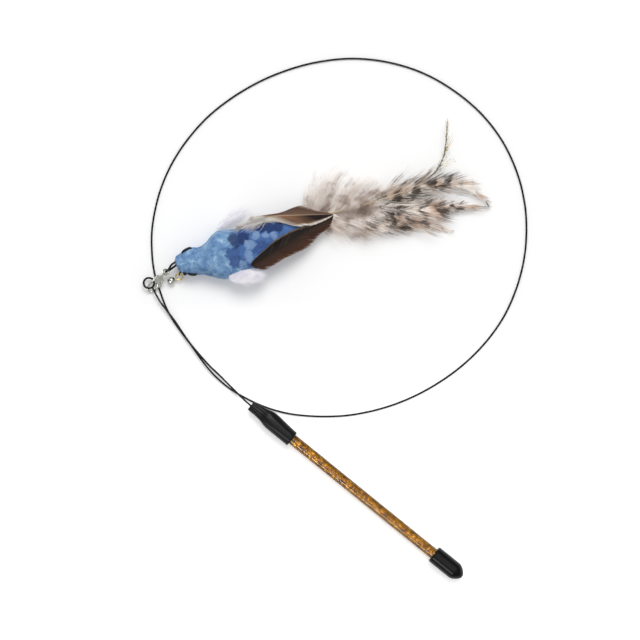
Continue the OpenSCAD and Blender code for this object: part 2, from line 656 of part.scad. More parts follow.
module bell_half(from) {
    slot_w = 0.12 * bell_d;
    at_bell() translate([bell_reach, 0, 0]) difference() {
        rotate([0, 90, 0]) rotate_extrude($fn = round_fn) intersection() {
            difference() {
                circle(bell_r, $fn = round_fn);
                circle(bell_r - bell_wall, $fn = round_fn);
            }
            translate([0, from]) square([bell_d, bell_r]);
        }
        if (from == 0) translate([0, -slot_w / 2, -bell_r * 0.8]) cube([bell_d, slot_w, bell_r * 1.6]);
    }
}

module bell_top() {
    color("#C4C6C8") bell_half(-bell_r);
}

module bell_bottom() {
    color("#C4C6C8") bell_half(0);
}

module bell_pellet() {
    color("#77797B") at_bell() translate([bell_reach, 0, -0.12 * bell_d]) sphere(pellet_d / 2, $fn = round_fn);
}

// Thread: a loop from the nose's lower corner, through the jump ring at thread_hang
thread_d = 0.8;
thread_hang = [8, -3.5, bell_r];
thread_route = [
    [13.5, 1.2, 6.6], [11.4, 0.4, 6.8], [9.2, -1.8, 5.6], [8.2, -3.2, 4.2], thread_hang,
    [8.1, -3.5, 1.4], [9.2, -2.2, 0.9], [10.8, -0.6, 3.2], [12, 0.2, 5.2], [13.5, 0.2, 5.6],
];
module ring_thread() {
    color("#161616") at_toy() tube(smooth(thread_route, 3), thread_d, 8, [0.5, 1, 0]);
}

end_cap();
handle_tube();
foil_liner();
wire_plug();
ferrule_sleeve();
spring_wire();
wire_eye();
clasp_body();
clasp_lever();
lever_pin();
lever_spring();
cord_loop();
cord_knot();
head_filling();
head_cover();
nose_stitches();
back_tuft();
belly_tuft();
upper_wing();
lower_wing();
tail_binding();
long_tail();
short_tail();
fork_tail();
upright_feather();
down_plume();
ring_thread();
jump_ring();
bell_top();
bell_bottom();
bell_loop();
bell_pellet();
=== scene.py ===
# %% [markdown]
# A cat teaser wand lies flat on a white table and is seen from straight above. Its handle is a clear tube with
# crinkled gold film inside. A long black spring wire leaves the handle, makes one wide loop and ends in an eye.
# A small clasp hangs a feathered fabric toy, a gold ring and a bell on that eye. The solids of every part are
# made before this script, so it starts by loading them as a fixed frame and dresses them one by one.

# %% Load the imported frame
import math

import bmesh
import bpy
import numpy as np
from mathutils import Matrix, Vector
from mathutils.bvhtree import BVHTree


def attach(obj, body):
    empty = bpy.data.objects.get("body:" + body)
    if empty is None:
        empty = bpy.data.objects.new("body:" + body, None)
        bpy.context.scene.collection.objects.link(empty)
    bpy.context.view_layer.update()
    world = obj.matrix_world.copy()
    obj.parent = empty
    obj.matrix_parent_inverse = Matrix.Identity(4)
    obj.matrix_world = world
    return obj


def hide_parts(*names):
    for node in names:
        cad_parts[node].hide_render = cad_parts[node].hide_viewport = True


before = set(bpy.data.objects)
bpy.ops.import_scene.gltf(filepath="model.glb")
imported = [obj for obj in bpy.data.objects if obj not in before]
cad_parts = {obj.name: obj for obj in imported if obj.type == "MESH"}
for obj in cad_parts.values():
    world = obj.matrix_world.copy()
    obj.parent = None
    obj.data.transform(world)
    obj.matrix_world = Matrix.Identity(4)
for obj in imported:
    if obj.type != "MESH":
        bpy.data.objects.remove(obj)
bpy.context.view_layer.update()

# %% [markdown]
# Blender works in metres and the real sizes are in millimetres, so one value turns one into the other. The part's
# main frames are repeated here: the handle's axis and the toy's frame, whose origin is below the clasp's tail eye.
# A piece is drawn in its own frame and put in place by one matrix.

# %% Millimetres and the part's own frames
MM = 0.001
BUTT = Vector((93.7, -147.9, 5.8))
HANDLE_TURN = math.radians(141)
TAIL = Vector((-98.3, 49.7, 7.1))
TIP_AT = 176.3
CAP_END = 5.0
TUBE_L = 156.0
LOWEST = 0.3 * MM  # cloth and feathers come no nearer to the table

on_handle = Matrix.Translation(BUTT) @ Matrix.Rotation(HANDLE_TURN, 4, "Z") @ Matrix.Rotation(math.radians(90), 4, "Y")
on_toy = Matrix.Translation((TAIL.x, TAIL.y, 0)) @ Matrix.Rotation(math.radians(12), 4, "Z")
HEAD_L, HEAD_W, HEAD_T = 84.0, 34.0, 17.0
NOSE = Vector((0.095 * HEAD_L, 0.125 * HEAD_W, 0))


def in_metres(points, place=None):
    """Points in millimetres of one frame, as points in metres of the whole part."""
    return [(place @ Vector(p) if place else Vector(p)) * MM for p in points]


def smooth_rows(rows, steps):
    """More rows on a smooth curve through the given vectors or rows of numbers."""
    out, last = [], len(rows) - 1
    for i in range(last):
        a, b, c, d = rows[max(i - 1, 0)], rows[i], rows[i + 1], rows[min(i + 2, last)]
        for t in (k / steps for k in range(steps)):
            square, cube = 2 * a - 5 * b + 4 * c - d, 3 * b - a - 3 * c + d
            out.append((2 * b + (c - a) * t + square * t * t + cube * t ** 3) / 2)
    return out + [rows[-1]]


def smooth_route(points, steps):
    """More points on a smooth curve through the given ones."""
    return smooth_rows([Vector(q) for q in points], steps)


def turns_of(count):
    """Angles that go once round in equal steps."""
    return [math.tau * k / count for k in range(count)]


def route_length(points):
    """Length of a line through points."""
    return sum((b - a).length for a, b in zip(points, points[1:]))


print("the sleeve's tip is at", [round(v, 4) for v in in_metres([(0, 0, TIP_AT)], on_handle)[0]])

# %% [markdown]
# The camera looks straight down. A long lens from 2.3 m keeps the wire loop almost free of perspective, as the
# photograph shows it, and 416 mm of table fill the picture's width.

# %% Camera
camera = bpy.data.objects.new("camera", bpy.data.cameras.new("camera"))
camera.data.lens = 200
camera.data.sensor_width = 36
camera.location = (0.001625, 0.018525, 2.311)
bpy.context.scene.collection.objects.link(camera)
bpy.context.scene.camera = camera
print("picture width on the table:", round(36 / 200 * camera.location.z * 1000), "mm")

# %% [markdown]
# Materials and Geometry Nodes trees are both networks of nodes. One function adds any node with its settings and
# links. The others name what this script asks for again and again: sums, vectors, ranges, mixed colours, noise.

# %% Helpers for node trees
def add(tree, kind, inputs=None, **settings):
    """Adds a node. inputs gives sockets by name or number, each a value or another node's socket."""
    node = tree.nodes.new(kind)
    for name, value in settings.items():
        setattr(node, name, value)
    for name, value in (inputs or {}).items():
        if isinstance(value, bpy.types.NodeSocket):
            tree.links.new(value, node.inputs[name])
        else:
            node.inputs[name].default_value = value
    return node


SIGNS = {"+": "ADD", "-": "SUBTRACT", "*": "MULTIPLY", "/": "DIVIDE", "*+": "MULTIPLY_ADD", "%": "MODULO",
         ">": "GREATER_THAN", "<": "LESS_THAN"}


def calc(tree, sign, *values):
    """The result of a Math node, by its sign or name. The sign *+ is first times second plus third."""
    return add(tree, "ShaderNodeMath", dict(enumerate(values)), operation=SIGNS.get(sign, sign)).outputs[0]


def vec(tree, operation, *values):
    """The result of a Vector Math node, which is one number for a length, a distance or a dot product."""
    sockets = (0, "Scale") if operation == "SCALE" else range(len(values))
    node = add(tree, "ShaderNodeVectorMath", dict(zip(sockets, values)), operation=operation)
    return node.outputs["Value" if operation in ("LENGTH", "DISTANCE", "DOT_PRODUCT") else "Vector"]


def remap(tree, value, low, high, to_low=0.0, to_high=1.0):
    """A value between two others, moved to a new range and kept inside it."""
    return add(tree, "ShaderNodeMapRange", {
        "Value": value, "From Min": low, "From Max": high, "To Min": to_low, "To Max": to_high}).outputs[0]


def mix(tree, share, under, over, kind="MIX"):
    """Two colours mixed by a share."""
    return add(tree, "ShaderNodeMix", {0: share, 6: under, 7: over}, data_type="RGBA", blend_type=kind).outputs[2]


def own_place(tree):
    """A point's place in its object's own coordinates, in metres."""
    return add(tree, "ShaderNodeTexCoord").outputs["Object"]


def noise(tree, place, scale, detail, roughness=0.5, distortion=0.0):
    """Soft noise between 0 and 1."""
    return add(tree, "ShaderNodeTexNoise", {
        "Vector": place, "Scale": scale, "Detail": detail, "Roughness": roughness, "Distortion": distortion,
    }).outputs["Fac"]


def relief(tree, height, strength, distance, under=None):
    """A normal bent by a height, over another normal if one is given."""
    sockets = {"Height": height, "Strength": strength, "Distance": distance}
    if under is not None:
        sockets["Normal"] = under
    return add(tree, "ShaderNodeBump", sockets).outputs[0]


def feed(shader, socket, value):
    """Links a value to one of a shader's sockets."""
    shader.id_data.links.new(value, shader.inputs[socket])


def resurface(tree, result):
    """Makes another shader the material's surface."""
    output = next(n for n in tree.nodes if n.bl_idname == "ShaderNodeOutputMaterial")
    tree.links.new(result.outputs[0], output.inputs["Surface"])


print("signs for sums:", " ".join(SIGNS))

# %% [markdown]
# A colour is given as painters write it, such as #1B1B1D, and turned into the linear numbers that light is added
# up in. A material starts with the Principled shader, which covers plastic, metal, cloth and feathers. Many need
# one noise only, for both their colour and their surface.

# %% Helpers for materials
def linear(code):
    """An sRGB hex colour as linear red, green, blue and alpha."""
    parts = [int(code[i:i + 2], 16) / 255 for i in (1, 3, 5)]
    return [v / 12.92 if v <= 0.04045 else ((v + 0.055) / 1.055) ** 2.4 for v in parts] + [1.0]


def start_material(name, **sockets):
    """A new material with one Principled shader, whose plain values are set on its own sockets."""
    material = bpy.data.materials.new(name)
    material.use_nodes = True
    tree = material.node_tree
    tree.nodes.clear()
    shader = add(tree, "ShaderNodeBsdfPrincipled", sockets)
    add(tree, "ShaderNodeOutputMaterial", {"Surface": shader.outputs[0]})
    return material, tree, shader


def paint(tree, fac, stops, interpolation="LINEAR"):
    """A colour ramp over fac, with stops of position and hex colour."""
    ramp = add(tree, "ShaderNodeValToRGB", {"Fac": fac})
    ramp.color_ramp.interpolation = interpolation
    while len(ramp.color_ramp.elements) < len(stops):
        ramp.color_ramp.elements.new(0.5)
    for element, (at, code) in zip(ramp.color_ramp.elements, stops):
        element.position, element.color = at, linear(code)
    return ramp.outputs["Color"]


def mottled(name, scale, detail, stops, bump=None, **sockets):
    """A material whose colour follows one noise. A bump's strength and height raise its surface the same way."""
    material, tree, shader = start_material(name, **sockets)
    grain = noise(tree, own_place(tree), scale, detail)
    feed(shader, "Base Color", paint(tree, grain, stops))
    if bump:
        feed(shader, "Normal", relief(tree, grain, *bump))
    return material, tree, shader


print("one step of grey, #808080, is", round(linear("#808080")[0], 3), "in linear light")

# %% [markdown]
# Pieces are shown by linking an object to the scene. A loft makes a closed tube or shell from rings of points:
# each ring joins the next with four-sided faces, and the first and last rings are closed. Baking turns whatever
# an object's modifiers make into a plain mesh, because the finished piece must hold no live tree.

# %% Helpers for meshes
def show(name, mesh_or_curve, material=None):
    """A new object in the scene, at the origin."""
    piece = bpy.data.objects.new(name, mesh_or_curve)
    bpy.context.scene.collection.objects.link(piece)
    if material:
        piece.data.materials.append(material)
    return piece


def mesh_of(name, points, faces, smooth=True):
    """A mesh from points in metres and faces, with its normals pointing outwards."""
    mesh = bpy.data.meshes.new(name)
    mesh.from_pydata([tuple(p) for p in points], [], faces)
    work = bmesh.new()
    work.from_mesh(mesh)
    bmesh.ops.recalc_face_normals(work, faces=work.faces)
    work.to_mesh(mesh)
    work.free()
    mesh.polygons.foreach_set("use_smooth", [smooth] * len(mesh.polygons))
    return mesh


def loft(name, rings, smooth=True, ends=True):
    """A skin over rings that all have the same number of points."""
    n, points = len(rings[0]), [p for ring in rings for p in ring]
    faces = [
        (i * n + k, i * n + (k + 1) % n, (i + 1) * n + (k + 1) % n, (i + 1) * n + k)
        for i in range(len(rings) - 1) for k in range(n)
    ]
    if ends:
        faces += [tuple(range(n)), tuple((len(rings) - 1) * n + k for k in range(n))]
    return mesh_of(name, points, faces, smooth)


def bake(piece):
    """Turns a piece and its live modifiers into one plain mesh."""
    bpy.context.view_layer.update()
    depsgraph = bpy.context.evaluated_depsgraph_get()
    mesh = bpy.data.meshes.new_from_object(piece.evaluated_get(depsgraph), depsgraph=depsgraph)
    if piece.type == "MESH":
        piece.modifiers.clear()
        piece.data = mesh
        return piece
    plain = show(piece.name + "_mesh", mesh)
    bpy.data.objects.remove(piece)
    return plain


def grow(tree, piece, **inputs):
    """Runs a Geometry Nodes tree on a piece with these named inputs and bakes the result."""
    modifier = piece.modifiers.new("grow", "NODES")
    modifier.node_group = tree
    inputs_of = (i for i in tree.interface.items_tree if i.item_type == "SOCKET" and i.in_out == "INPUT")
    sockets = {i.name: i.identifier for i in inputs_of}
    for name, value in inputs.items():
        modifier[sockets[name]] = value
    piece.update_tag()
    return bake(piece)


def twin(piece, name):
    """A copy of a piece with a mesh of its own."""
    return show(name, piece.data.copy())


def dress(node, material):
    """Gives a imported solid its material."""
    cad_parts[node].data.materials.clear()
    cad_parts[node].data.materials.append(material)


def fasten(piece, body, slot, *nodes):
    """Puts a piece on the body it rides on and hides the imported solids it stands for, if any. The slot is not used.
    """
    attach(piece, body)
    if nodes:
        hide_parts(*nodes)


def faces_of(piece):
    """Number of triangles in a finished piece."""
    return sum(len(p.vertices) - 2 for p in piece.data.polygons)


print("helpers are ready")

# %% [markdown]
# The wire is hard-drawn spring steel with a thin black coating, 1.2 mm across and about 870 mm long. It is one
# open curve with a round bevel, because a curve keeps its own centre line and can be measured as a cord. The
# points below are listed one by one: out of the sleeve, once round the wide loop, over itself and into the eye,
# whose shank is the wire's last stretch.

# %% Material: black coated spring wire
# The coating is drawn over the steel, so it shows faint scuffs a few millimetres long.
coated_wire = mottled("black_coated_spring_wire", 320.0, 4.0, [(0.35, "#060607"), (0.7, "#111113")], (0.12, 0.0001),
                      **{"Roughness": 0.36, "IOR": 1.5, "Specular IOR Level": 0.15})[0]
print("made", coated_wire.name)

# %% The spring wire, one free curve
WIRE_D = 1.2
EYE_AT = Vector((-109.4, 42.5, 3.7))
EYE_R, EYE_TILT, EYE_HEADING, NECK = 3.4, math.radians(10), math.radians(228), math.radians(-52)
wire_end = EYE_AT + EYE_R * Vector((math.cos(NECK), math.sin(NECK), math.sin(EYE_TILT) * math.cos(NECK - EYE_HEADING)))
wire_start = [on_handle @ Vector((0, 0, TIP_AT - back)) for back in (21.4, 9.4, 0)]
WIRE_POINTS = [
    (-46.5, -34.2, 5.7), (-50.5, -30.4, 5), (-57, -24, 3.6), (-64, -17, 2.2), (-69.6, -11.8, 1.1),
    (-76, -4.8, 0.7), (-83.4, 4, 0.6), (-88.8, 11, 0.6), (-94.4, 19.2, 0.6), (-98.6, 27.2, 0.6),
    (-102.4, 37.4, 0.6), (-105.8, 48.5, 0.6), (-107.5, 61, 0.6), (-107.6, 76, 0.6), (-105.3, 91, 0.6),
    (-101, 106, 0.6), (-93.6, 122, 0.6), (-83, 137.6, 0.6), (-69.6, 152, 0.6), (-53, 164.6, 0.6),
    (-34.6, 174.9, 0.6), (-15, 182.4, 0.6), (4, 186.8, 0.6), (24, 188.4, 0.6), (46, 186, 0.6),
    (68, 179.2, 0.6), (88, 168, 0.6), (106, 153, 0.6), (120, 135, 0.6), (129.6, 114.6, 0.6),
    (134.6, 94.5, 0.6), (135.8, 76, 0.6), (134.2, 58, 0.6), (129.6, 40, 0.6), (121.8, 22, 0.6),
    (110.4, 5.4, 0.6), (96.2, -9.2, 0.6), (80, -21.4, 0.6), (62, -31.4, 0.6), (43, -38.6, 0.6),
    (23, -43, 0.6), (5, -44.2, 0.6), (-12.6, -43.2, 0.6), (-26, -40.6, 0.6), (-38, -36.4, 0.6),
    (-50.4, -30.2, 0.9), (-58.4, -25, 1), (-65.6, -18.8, 1.6), (-70.8, -13.2, 2.4), (-76.2, -6.2, 2.6),
    (-82, 2.2, 2.6), (-87, 9.4, 2.6), (-92.6, 17.8, 2.6), (-97.8, 24.6, 2.7), (-102.4, 30.8, 3.2),
]
# The last three stretches are the eye's own shank, and the curve reaches one step into it.
wire_line = in_metres(smooth_route(wire_start + [Vector(p) for p in WIRE_POINTS] + [wire_end], 5)[:-14])


def cord_curve(name, line, radius, material, sides=3):
    """An open curve through a line of points, with a round section."""
    curve = bpy.data.curves.new(name, "CURVE")
    curve.dimensions = "3D"
    curve.bevel_depth = radius
    curve.bevel_resolution = sides
    curve.use_fill_caps = True
    spline = curve.splines.new("POLY")
    spline.points.add(len(line) - 1)
    for point, at in zip(spline.points, line):
        point.co = (*at, 1)
    spline.use_smooth = True
    return show(name, curve, material)


spring_wire = cord_curve("coated_wire", wire_line, WIRE_D / 2 * MM, coated_wire)
fasten(spring_wire, "wand", "black_coated_wire", "spring_wire")
dress("wire_eye", coated_wire)
print("wire is", round(route_length(wire_line) * 1000), "mm long")

# %% [markdown]
# The end cap is dipped vinyl: soft, black and slightly shiny, with the faint ripple that dipping leaves. The
# sleeve on the front is the same family of material, shrunk over the tube and pinched flat where the wire comes
# out, so it has a duller skin and folds that run lengthwise. One function makes both finishes from their shine.

# %% Materials: dipped vinyl cap and shrunk vinyl sleeve
def vinyl(name, dark, pale, roughness, ripple_mm):
    """Black vinyl with a faint ripple of the given size."""
    material, tree, shader = start_material(name, **{"Roughness": roughness, "IOR": 1.52, "Specular IOR Level": 0.15})
    place = own_place(tree)
    ripple = noise(tree, place, 1000 / ripple_mm / 3, 3.0, roughness=0.55)
    dust = noise(tree, place, 1500.0, 2.0)
    feed(shader, "Base Color", paint(tree, dust, [(0.3, dark), (0.75, pale)]))
    feed(shader, "Normal", relief(tree, dust, 0.12, 0.00006, relief(tree, ripple, 0.35, 0.0004)))
    return material


cap_vinyl = vinyl("dipped_vinyl_cap", "#050506", "#0D0D0F", 0.24, 5.0)
sleeve_vinyl = vinyl("shrunk_vinyl_sleeve", "#08080A", "#161618", 0.3, 3.5)
dress("end_cap", cap_vinyl)
print("made", cap_vinyl.name, "and", sleeve_vinyl.name)

# %% [markdown]
# The sleeve is a loft along the handle's axis. Its section starts round, 3.65 + 1.7 mm in radius, and shrinks to
# the flat pinch round the wire. It is not the same on both sides: towards the right of the picture it bulges over
# the tube's end and comes down slowly, and on the left it steps in at once. Folds are waves round the section
# that grow where the vinyl is drawn together.

# %% The front sleeve
SLEEVE_FROM = 141.7
SLEEVE_STATIONS = [
    # along, half width on the left and on the right, half thickness, fold depth in mm
    (0.0, 4.6, 4.4, 4.6, 0.0), (0.0, 5.2, 5.0, 5.2, 0.0), (0.6, 5.35, 5.15, 5.4, 0.0), (3.2, 5.3, 5.25, 5.45, 0.03),
    (7.0, 5.3, 5.5, 5.4, 0.06), (11.0, 5.3, 5.85, 5.4, 0.1), (14.5, 5.3, 6.2, 5.35, 0.14),
    (17.4, 5.25, 6.5, 5.25, 0.18), (19.6, 5.05, 6.45, 5.05, 0.2), (21.4, 4.65, 6.1, 4.7, 0.22),
    (23.0, 4.15, 5.6, 4.25, 0.24), (24.4, 3.8, 5.1, 3.7, 0.26), (26.4, 3.6, 4.6, 3.1, 0.26),
    (28.8, 3.5, 4.1, 2.7, 0.22), (31.6, 3.42, 3.7, 2.4, 0.16), (33.8, 3.38, 3.5, 2.2, 0.1),
    (34.5, 3.2, 3.3, 2.0, 0.05), (34.6, 2.7, 2.8, 1.6, 0.0),
]
sleeve_rings = []
for along, left, right, half_t, fold in SLEEVE_STATIONS:
    ring = []
    for a in turns_of(96):
        c, s = math.cos(a), math.sin(a)
        half_w = left if s > 0 else right
        squarish = 2 + 0.8 * max(0.0, min(1.0, (along - 17) / 8))
        r = (abs(c / half_t) ** squarish + abs(s / half_w) ** squarish) ** (-1 / squarish)
        waves = math.sin(3 * a + 0.6) * 0.5 + math.sin(7 * a + 0.13 * along) * 0.3
        waves += math.sin(11 * a - 0.21 * along + 2) * 0.2
        r += fold * (waves - 0.3)
        ring.append(on_handle @ Vector((r * c, r * s, SLEEVE_FROM + along)) * MM)
    sleeve_rings.append(ring)
front_sleeve = show("front_sleeve", loft("front_sleeve", sleeve_rings), sleeve_vinyl)
front_sleeve.modifiers.new("soften", "SUBSURF").levels = 1
front_sleeve.modifiers["soften"].render_levels = 1
fasten(front_sleeve, "wand", "black_vinyl", "ferrule_sleeve")
print("sleeve has", len(front_sleeve.data.polygons), "faces before it is softened")

# %% [markdown]
# The handle's tube is clear extruded acrylic with an index of 1.49, so it bends light as the real one does. The
# film inside lies close to the bore, and in the photograph it fills the tube from edge to edge, as in a solid
# glass rod. So only the outer skin bends light here, and light goes straight through all that is nearer to the
# axis than 3.3 mm. The shadow of clear plastic on the film would be a caustic, which takes long to
# render, so a shadow ray passes too.

# %% Material: extruded clear acrylic
along_handle = Vector((math.cos(HANDLE_TURN), math.sin(HANDLE_TURN), 0))
across_handle = Vector((-along_handle.y, along_handle.x, 0))


def from_axis(tree):
    """Node sockets with a point's distance from the handle's axis and its place across it, both in metres."""
    place = own_place(tree)
    from_butt = vec(tree, "SUBTRACT", place, BUTT * MM)
    away = vec(tree, "LENGTH", vec(tree, "CROSS_PRODUCT", from_butt, along_handle))
    return place, away, vec(tree, "DOT_PRODUCT", from_butt, across_handle)


SKIN_R = 3.3 * MM
clear_acrylic, tree, shader = start_material("extruded_clear_acrylic", **{
    "Roughness": 0.09, "IOR": 1.49, "Specular IOR Level": 0.3, "Transmission Weight": 1.0})
place, away, _ = from_axis(tree)
# Extruding leaves long faint draw lines and a breath of haze.
haze = noise(tree, place, 90.0, 2.0)
feed(shader, "Base Color", paint(tree, haze, [(0.3, "#FFF0D2"), (0.8, "#FFF8E6")]))
feed(shader, "Normal", relief(tree, haze, 0.05, 0.0002))
passing = add(tree, "ShaderNodeBsdfTransparent", {"Color": linear("#F8EFDC")})
shadow_ray = add(tree, "ShaderNodeLightPath").outputs["Is Shadow Ray"]
let_pass = calc(tree, "MAXIMUM", shadow_ray, calc(tree, "<", away, SKIN_R))
resurface(tree, add(tree, "ShaderNodeMixShader", {0: let_pass, 1: shader.outputs[0], 2: passing.outputs[0]}))
dress("handle_tube", clear_acrylic)
print("made", clear_acrylic.name)

# %% [markdown]
# The liner is metallised gold film, rolled and crumpled into the tube. Crumpled film is made of small flat facets
# that meet in sharp ridges, so its mesh is a tube whose points are pushed inwards at random and whose faces stay
# flat. The film's edges overlap along the top, where a dark crinkled seam runs from end to end. Towards both
# sides its colour is painted darker, a painted shade for where the film turns away from the light. The sparkles
# are the few facets that face it.

# %% Material: metallised gold film
gold_film, tree, shader = start_material("metallised_gold_film", **{"Metallic": 0.93, "Roughness": 0.5})
place, _, aside = from_axis(tree)
cloud = noise(tree, place, 330.0, 4.0, roughness=0.65)
tone = paint(tree, cloud, [(0.34, "#583E00"), (0.46, "#866402"), (0.57, "#A48208"), (0.68, "#E4C244")])
crinkle = noise(tree, place, 480.0, 3.0, roughness=0.7)
wobble = calc(tree, "*+", crinkle, 0.0024, -0.0012)
from_seam = calc(tree, "ABSOLUTE", calc(tree, "+", aside, wobble))
seam_share = calc(tree, "*", remap(tree, from_seam, 0.0012, 0.0006), 0.92)
seam_tone = paint(tree, crinkle, [(0.4, "#4A2C00"), (0.5, "#7E5400"), (0.6, "#DCAA10")])
tone = mix(tree, seam_share, tone, seam_tone)
# Painted shade: the film's colour darkens towards both sides of the tube, where it turns away from the light.
painted_side_shade = calc(tree, "*", remap(tree, from_seam, 0.0015, 0.0024), 0.4)
tone = mix(tree, painted_side_shade, tone, linear("#64420A"))
feed(shader, "Base Color", tone)
crease = add(tree, "ShaderNodeTexVoronoi", {"Vector": place, "Scale": 620.0, "Randomness": 1.0}, feature="F1")
feed(shader, "Normal", relief(tree, crease.outputs["Distance"], 0.35, 0.0005))
print("made", gold_film.name)

# %% The crumpled film inside the tube
rng = np.random.default_rng(7)
FILM_R, FILM_L, FILM_ROWS, FILM_SIDES = 2.66, TUBE_L - 14.7, 110, 16
DENT, JOG = 0.4, 0.3  # how far in and how far along a point may be pushed, in mm
film_rings = []
for i in range(FILM_ROWS + 1):
    ring = []
    for k in range(FILM_SIDES):
        a = math.tau * (k + 0.5 * (i % 2)) / FILM_SIDES
        r = FILM_R - DENT * float(rng.random()) ** 1.5
        jog = 0 if i in (0, FILM_ROWS) else JOG * float(rng.random() - 0.5)
        z = CAP_END + 0.2 + FILM_L * i / FILM_ROWS + jog
        ring.append(on_handle @ Vector((r * math.cos(a), r * math.sin(a), z)) * MM)
    film_rings.append(ring)
film = show("gold_film_liner", loft("gold_film_liner", film_rings, smooth=False), gold_film)
fasten(film, "wand", "gold_foil", "foil_liner")
print("film has", faces_of(film), "triangles")

# %% [markdown]
# The plug is a pale moulded rubber that grips the root of the wire inside the tube's mouth. Only a look through
# the clear tube shows it.

# %% Material: pale moulded rubber plug
plug_rubber = mottled("pale_moulded_rubber", 500.0, 3.0, [(0.3, "#C9A468"), (0.7, "#DCC39A")],
                      **{"Roughness": 0.6, "IOR": 1.5})[0]
dress("wire_plug", plug_rubber)
print("made", plug_rubber.name)

# %% [markdown]
# The clasp, its lever, the bell and its loop are die-cast or stamped steel with bright nickel plating. Plating is
# nearly a mirror, so what it reflects matters more than its own colour. A very fine bump breaks the mirror the
# way tumbled small parts do, and a die-cast face also swells a little, so that a light never fills all of it.
# The jump ring is the same wire with a thin gold-coloured plating.

# %% Materials: nickel and gold plating
def plating(name, low, high, roughness, grain_scale, swell=0.0):
    """Bright plated metal with fine tumbling marks, and the swell in metres of a cast face."""
    material, tree, shader = start_material(name, **{"Metallic": 1.0, "Roughness": roughness})
    place = own_place(tree)
    marks = noise(tree, place, grain_scale, 4.0)
    feed(shader, "Base Color", paint(tree, marks, [(0.3, low), (0.65, high)]))
    swelled = relief(tree, noise(tree, place, 340.0, 1.0), 1.0, swell) if swell else None
    feed(shader, "Normal", relief(tree, marks, 0.1, 0.00005, swelled))
    return material


nickel = plating("bright_nickel_plating", "#A2A29A", "#CFCFC6", 0.09, 500.0)
cast_nickel = plating("cast_nickel_plating", "#BEBFB4", "#E6E7DC", 0.1, 500.0, 0.00014)
dull_steel = plating("tumbled_spring_steel", "#4E4E50", "#78787A", 0.35, 1200.0)
gold_plate = plating("thin_gold_plating", "#9A7C30", "#E0C878", 0.15, 900.0)
for node, metal in (
    ("lever_pin", nickel), ("lever_spring", dull_steel), ("bell_top", nickel), ("bell_bottom", nickel),
    ("bell_loop", nickel), ("bell_pellet", dull_steel),
):
    dress(node, metal)
print("made", nickel.name, dull_steel.name, gold_plate.name)

# %% [markdown]
# A die-cast clasp has no sharp edge anywhere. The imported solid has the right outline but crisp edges, so a merged
# copy of it is rebuilt from small cubes, or voxels, of 0.1 mm and then smoothed. That rounds every edge by about
# the same amount, as casting and tumbling do.

# %% Cast clasp body and lever
def cast_copy(node, name, material, voxel_mm, rounds):
    """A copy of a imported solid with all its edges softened."""
    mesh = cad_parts[node].data.copy()
    mesh.materials.clear()
    if "custom_normal" in mesh.attributes:
        mesh.attributes.remove(mesh.attributes["custom_normal"])
    work = bmesh.new()
    work.from_mesh(mesh)
    bmesh.ops.remove_doubles(work, verts=work.verts, dist=1e-6)
    work.to_mesh(mesh)
    work.free()
    piece = show(name, mesh, material)
    remesh = piece.modifiers.new("voxels", "REMESH")
    remesh.mode, remesh.voxel_size, remesh.use_smooth_shade = "VOXEL", voxel_mm * MM, True
    soften = piece.modifiers.new("soften", "SMOOTH")
    soften.factor, soften.iterations = 0.5, rounds
    return bake(piece)


clasp_body = cast_copy("clasp_body", "cast_clasp_body", cast_nickel, 0.11, 5)
clasp_lever = cast_copy("clasp_lever", "cast_clasp_lever", cast_nickel, 0.1, 4)
for piece, node, body in ((clasp_body, "clasp_body", "clasp"), (clasp_lever, "clasp_lever", "lever")):
    fasten(piece, body, "silver_metal", node)
    print(piece.name, "has", faces_of(piece), "triangles")

# %% [markdown]
# The jump ring is wire bent round until its ends meet, so it has a fine slit. The bell is two pressed halves with
# a rim where they meet. Both are short sweeps: a circle of points with a small round section.

# %% Jump ring with its slit, and the bell's rim
def ring_sweep(name, centre, along, across, radius, section, gap_mm, material, count=72, sides=12):
    """A round wire bent into a ring in the plane of two directions, with a gap between its ends."""
    half_gap = gap_mm / 2 / radius
    turns = [half_gap + (math.tau - 2 * half_gap) * i / count for i in range(count + 1)]
    up = along.cross(across)
    rings = []
    for turn in turns:
        out = along * math.cos(turn) + across * math.sin(turn)
        rings.append([
            (centre + out * radius + (out * math.cos(a) + up * math.sin(a)) * section / 2) * MM
            for a in turns_of(sides)
        ])
    return show(name, loft(name, rings), material)


RING_AT = Vector((-89.8, 46.6, 2.7))
BELL_TURN = math.radians(206)
slit_turn = math.radians(118)
jump_ring = ring_sweep(
    "jump_ring_wire", RING_AT, Vector((math.cos(slit_turn), math.sin(slit_turn), 0)),
    Vector((-math.sin(slit_turn), math.cos(slit_turn), 0)), 2.2, 0.8, 0.16, gold_plate)
fasten(jump_ring, "ring", "gold_metal", "jump_ring")
bell_axis = Vector((math.cos(BELL_TURN), math.sin(BELL_TURN), 0))
bell_side = Vector((-bell_axis.y, bell_axis.x, 0))
bell_at = RING_AT + bell_axis * (2.2 + 2.7 + 0.9 - 0.125)
bell_rim = ring_sweep("bell_rim", bell_at, bell_side, Vector((0, 0, 1)), 2.66, 0.34, 0.0, nickel, count=60, sides=8)
fasten(bell_rim, "bell", "silver_metal")
print("bell centre at", [round(v, 2) for v in bell_at])

# %% [markdown]
# Thin elastic cord is a rubber core with a braided black cover. The braid is two sets of strands that wind round
# the cord in opposite directions. Geometry Nodes suit it, because each strand is the same rule along the same
# path: at a share t of the length, turn by t times the number of turns and step out by the cord's radius. The three
# trees of this script share their first and last nodes, so those are written once.

# %% Material: black braided polyester cord
braid_black = mottled(
    "black_braided_polyester", 2500.0, 2.0, [(0.3, "#060607"), (0.75, "#141416")], (0.4, 0.00008),
    **{"Roughness": 0.6, "IOR": 1.5, "Specular IOR Level": 0.25, "Sheen Weight": 0.1})[0]
print("made", braid_black.name)

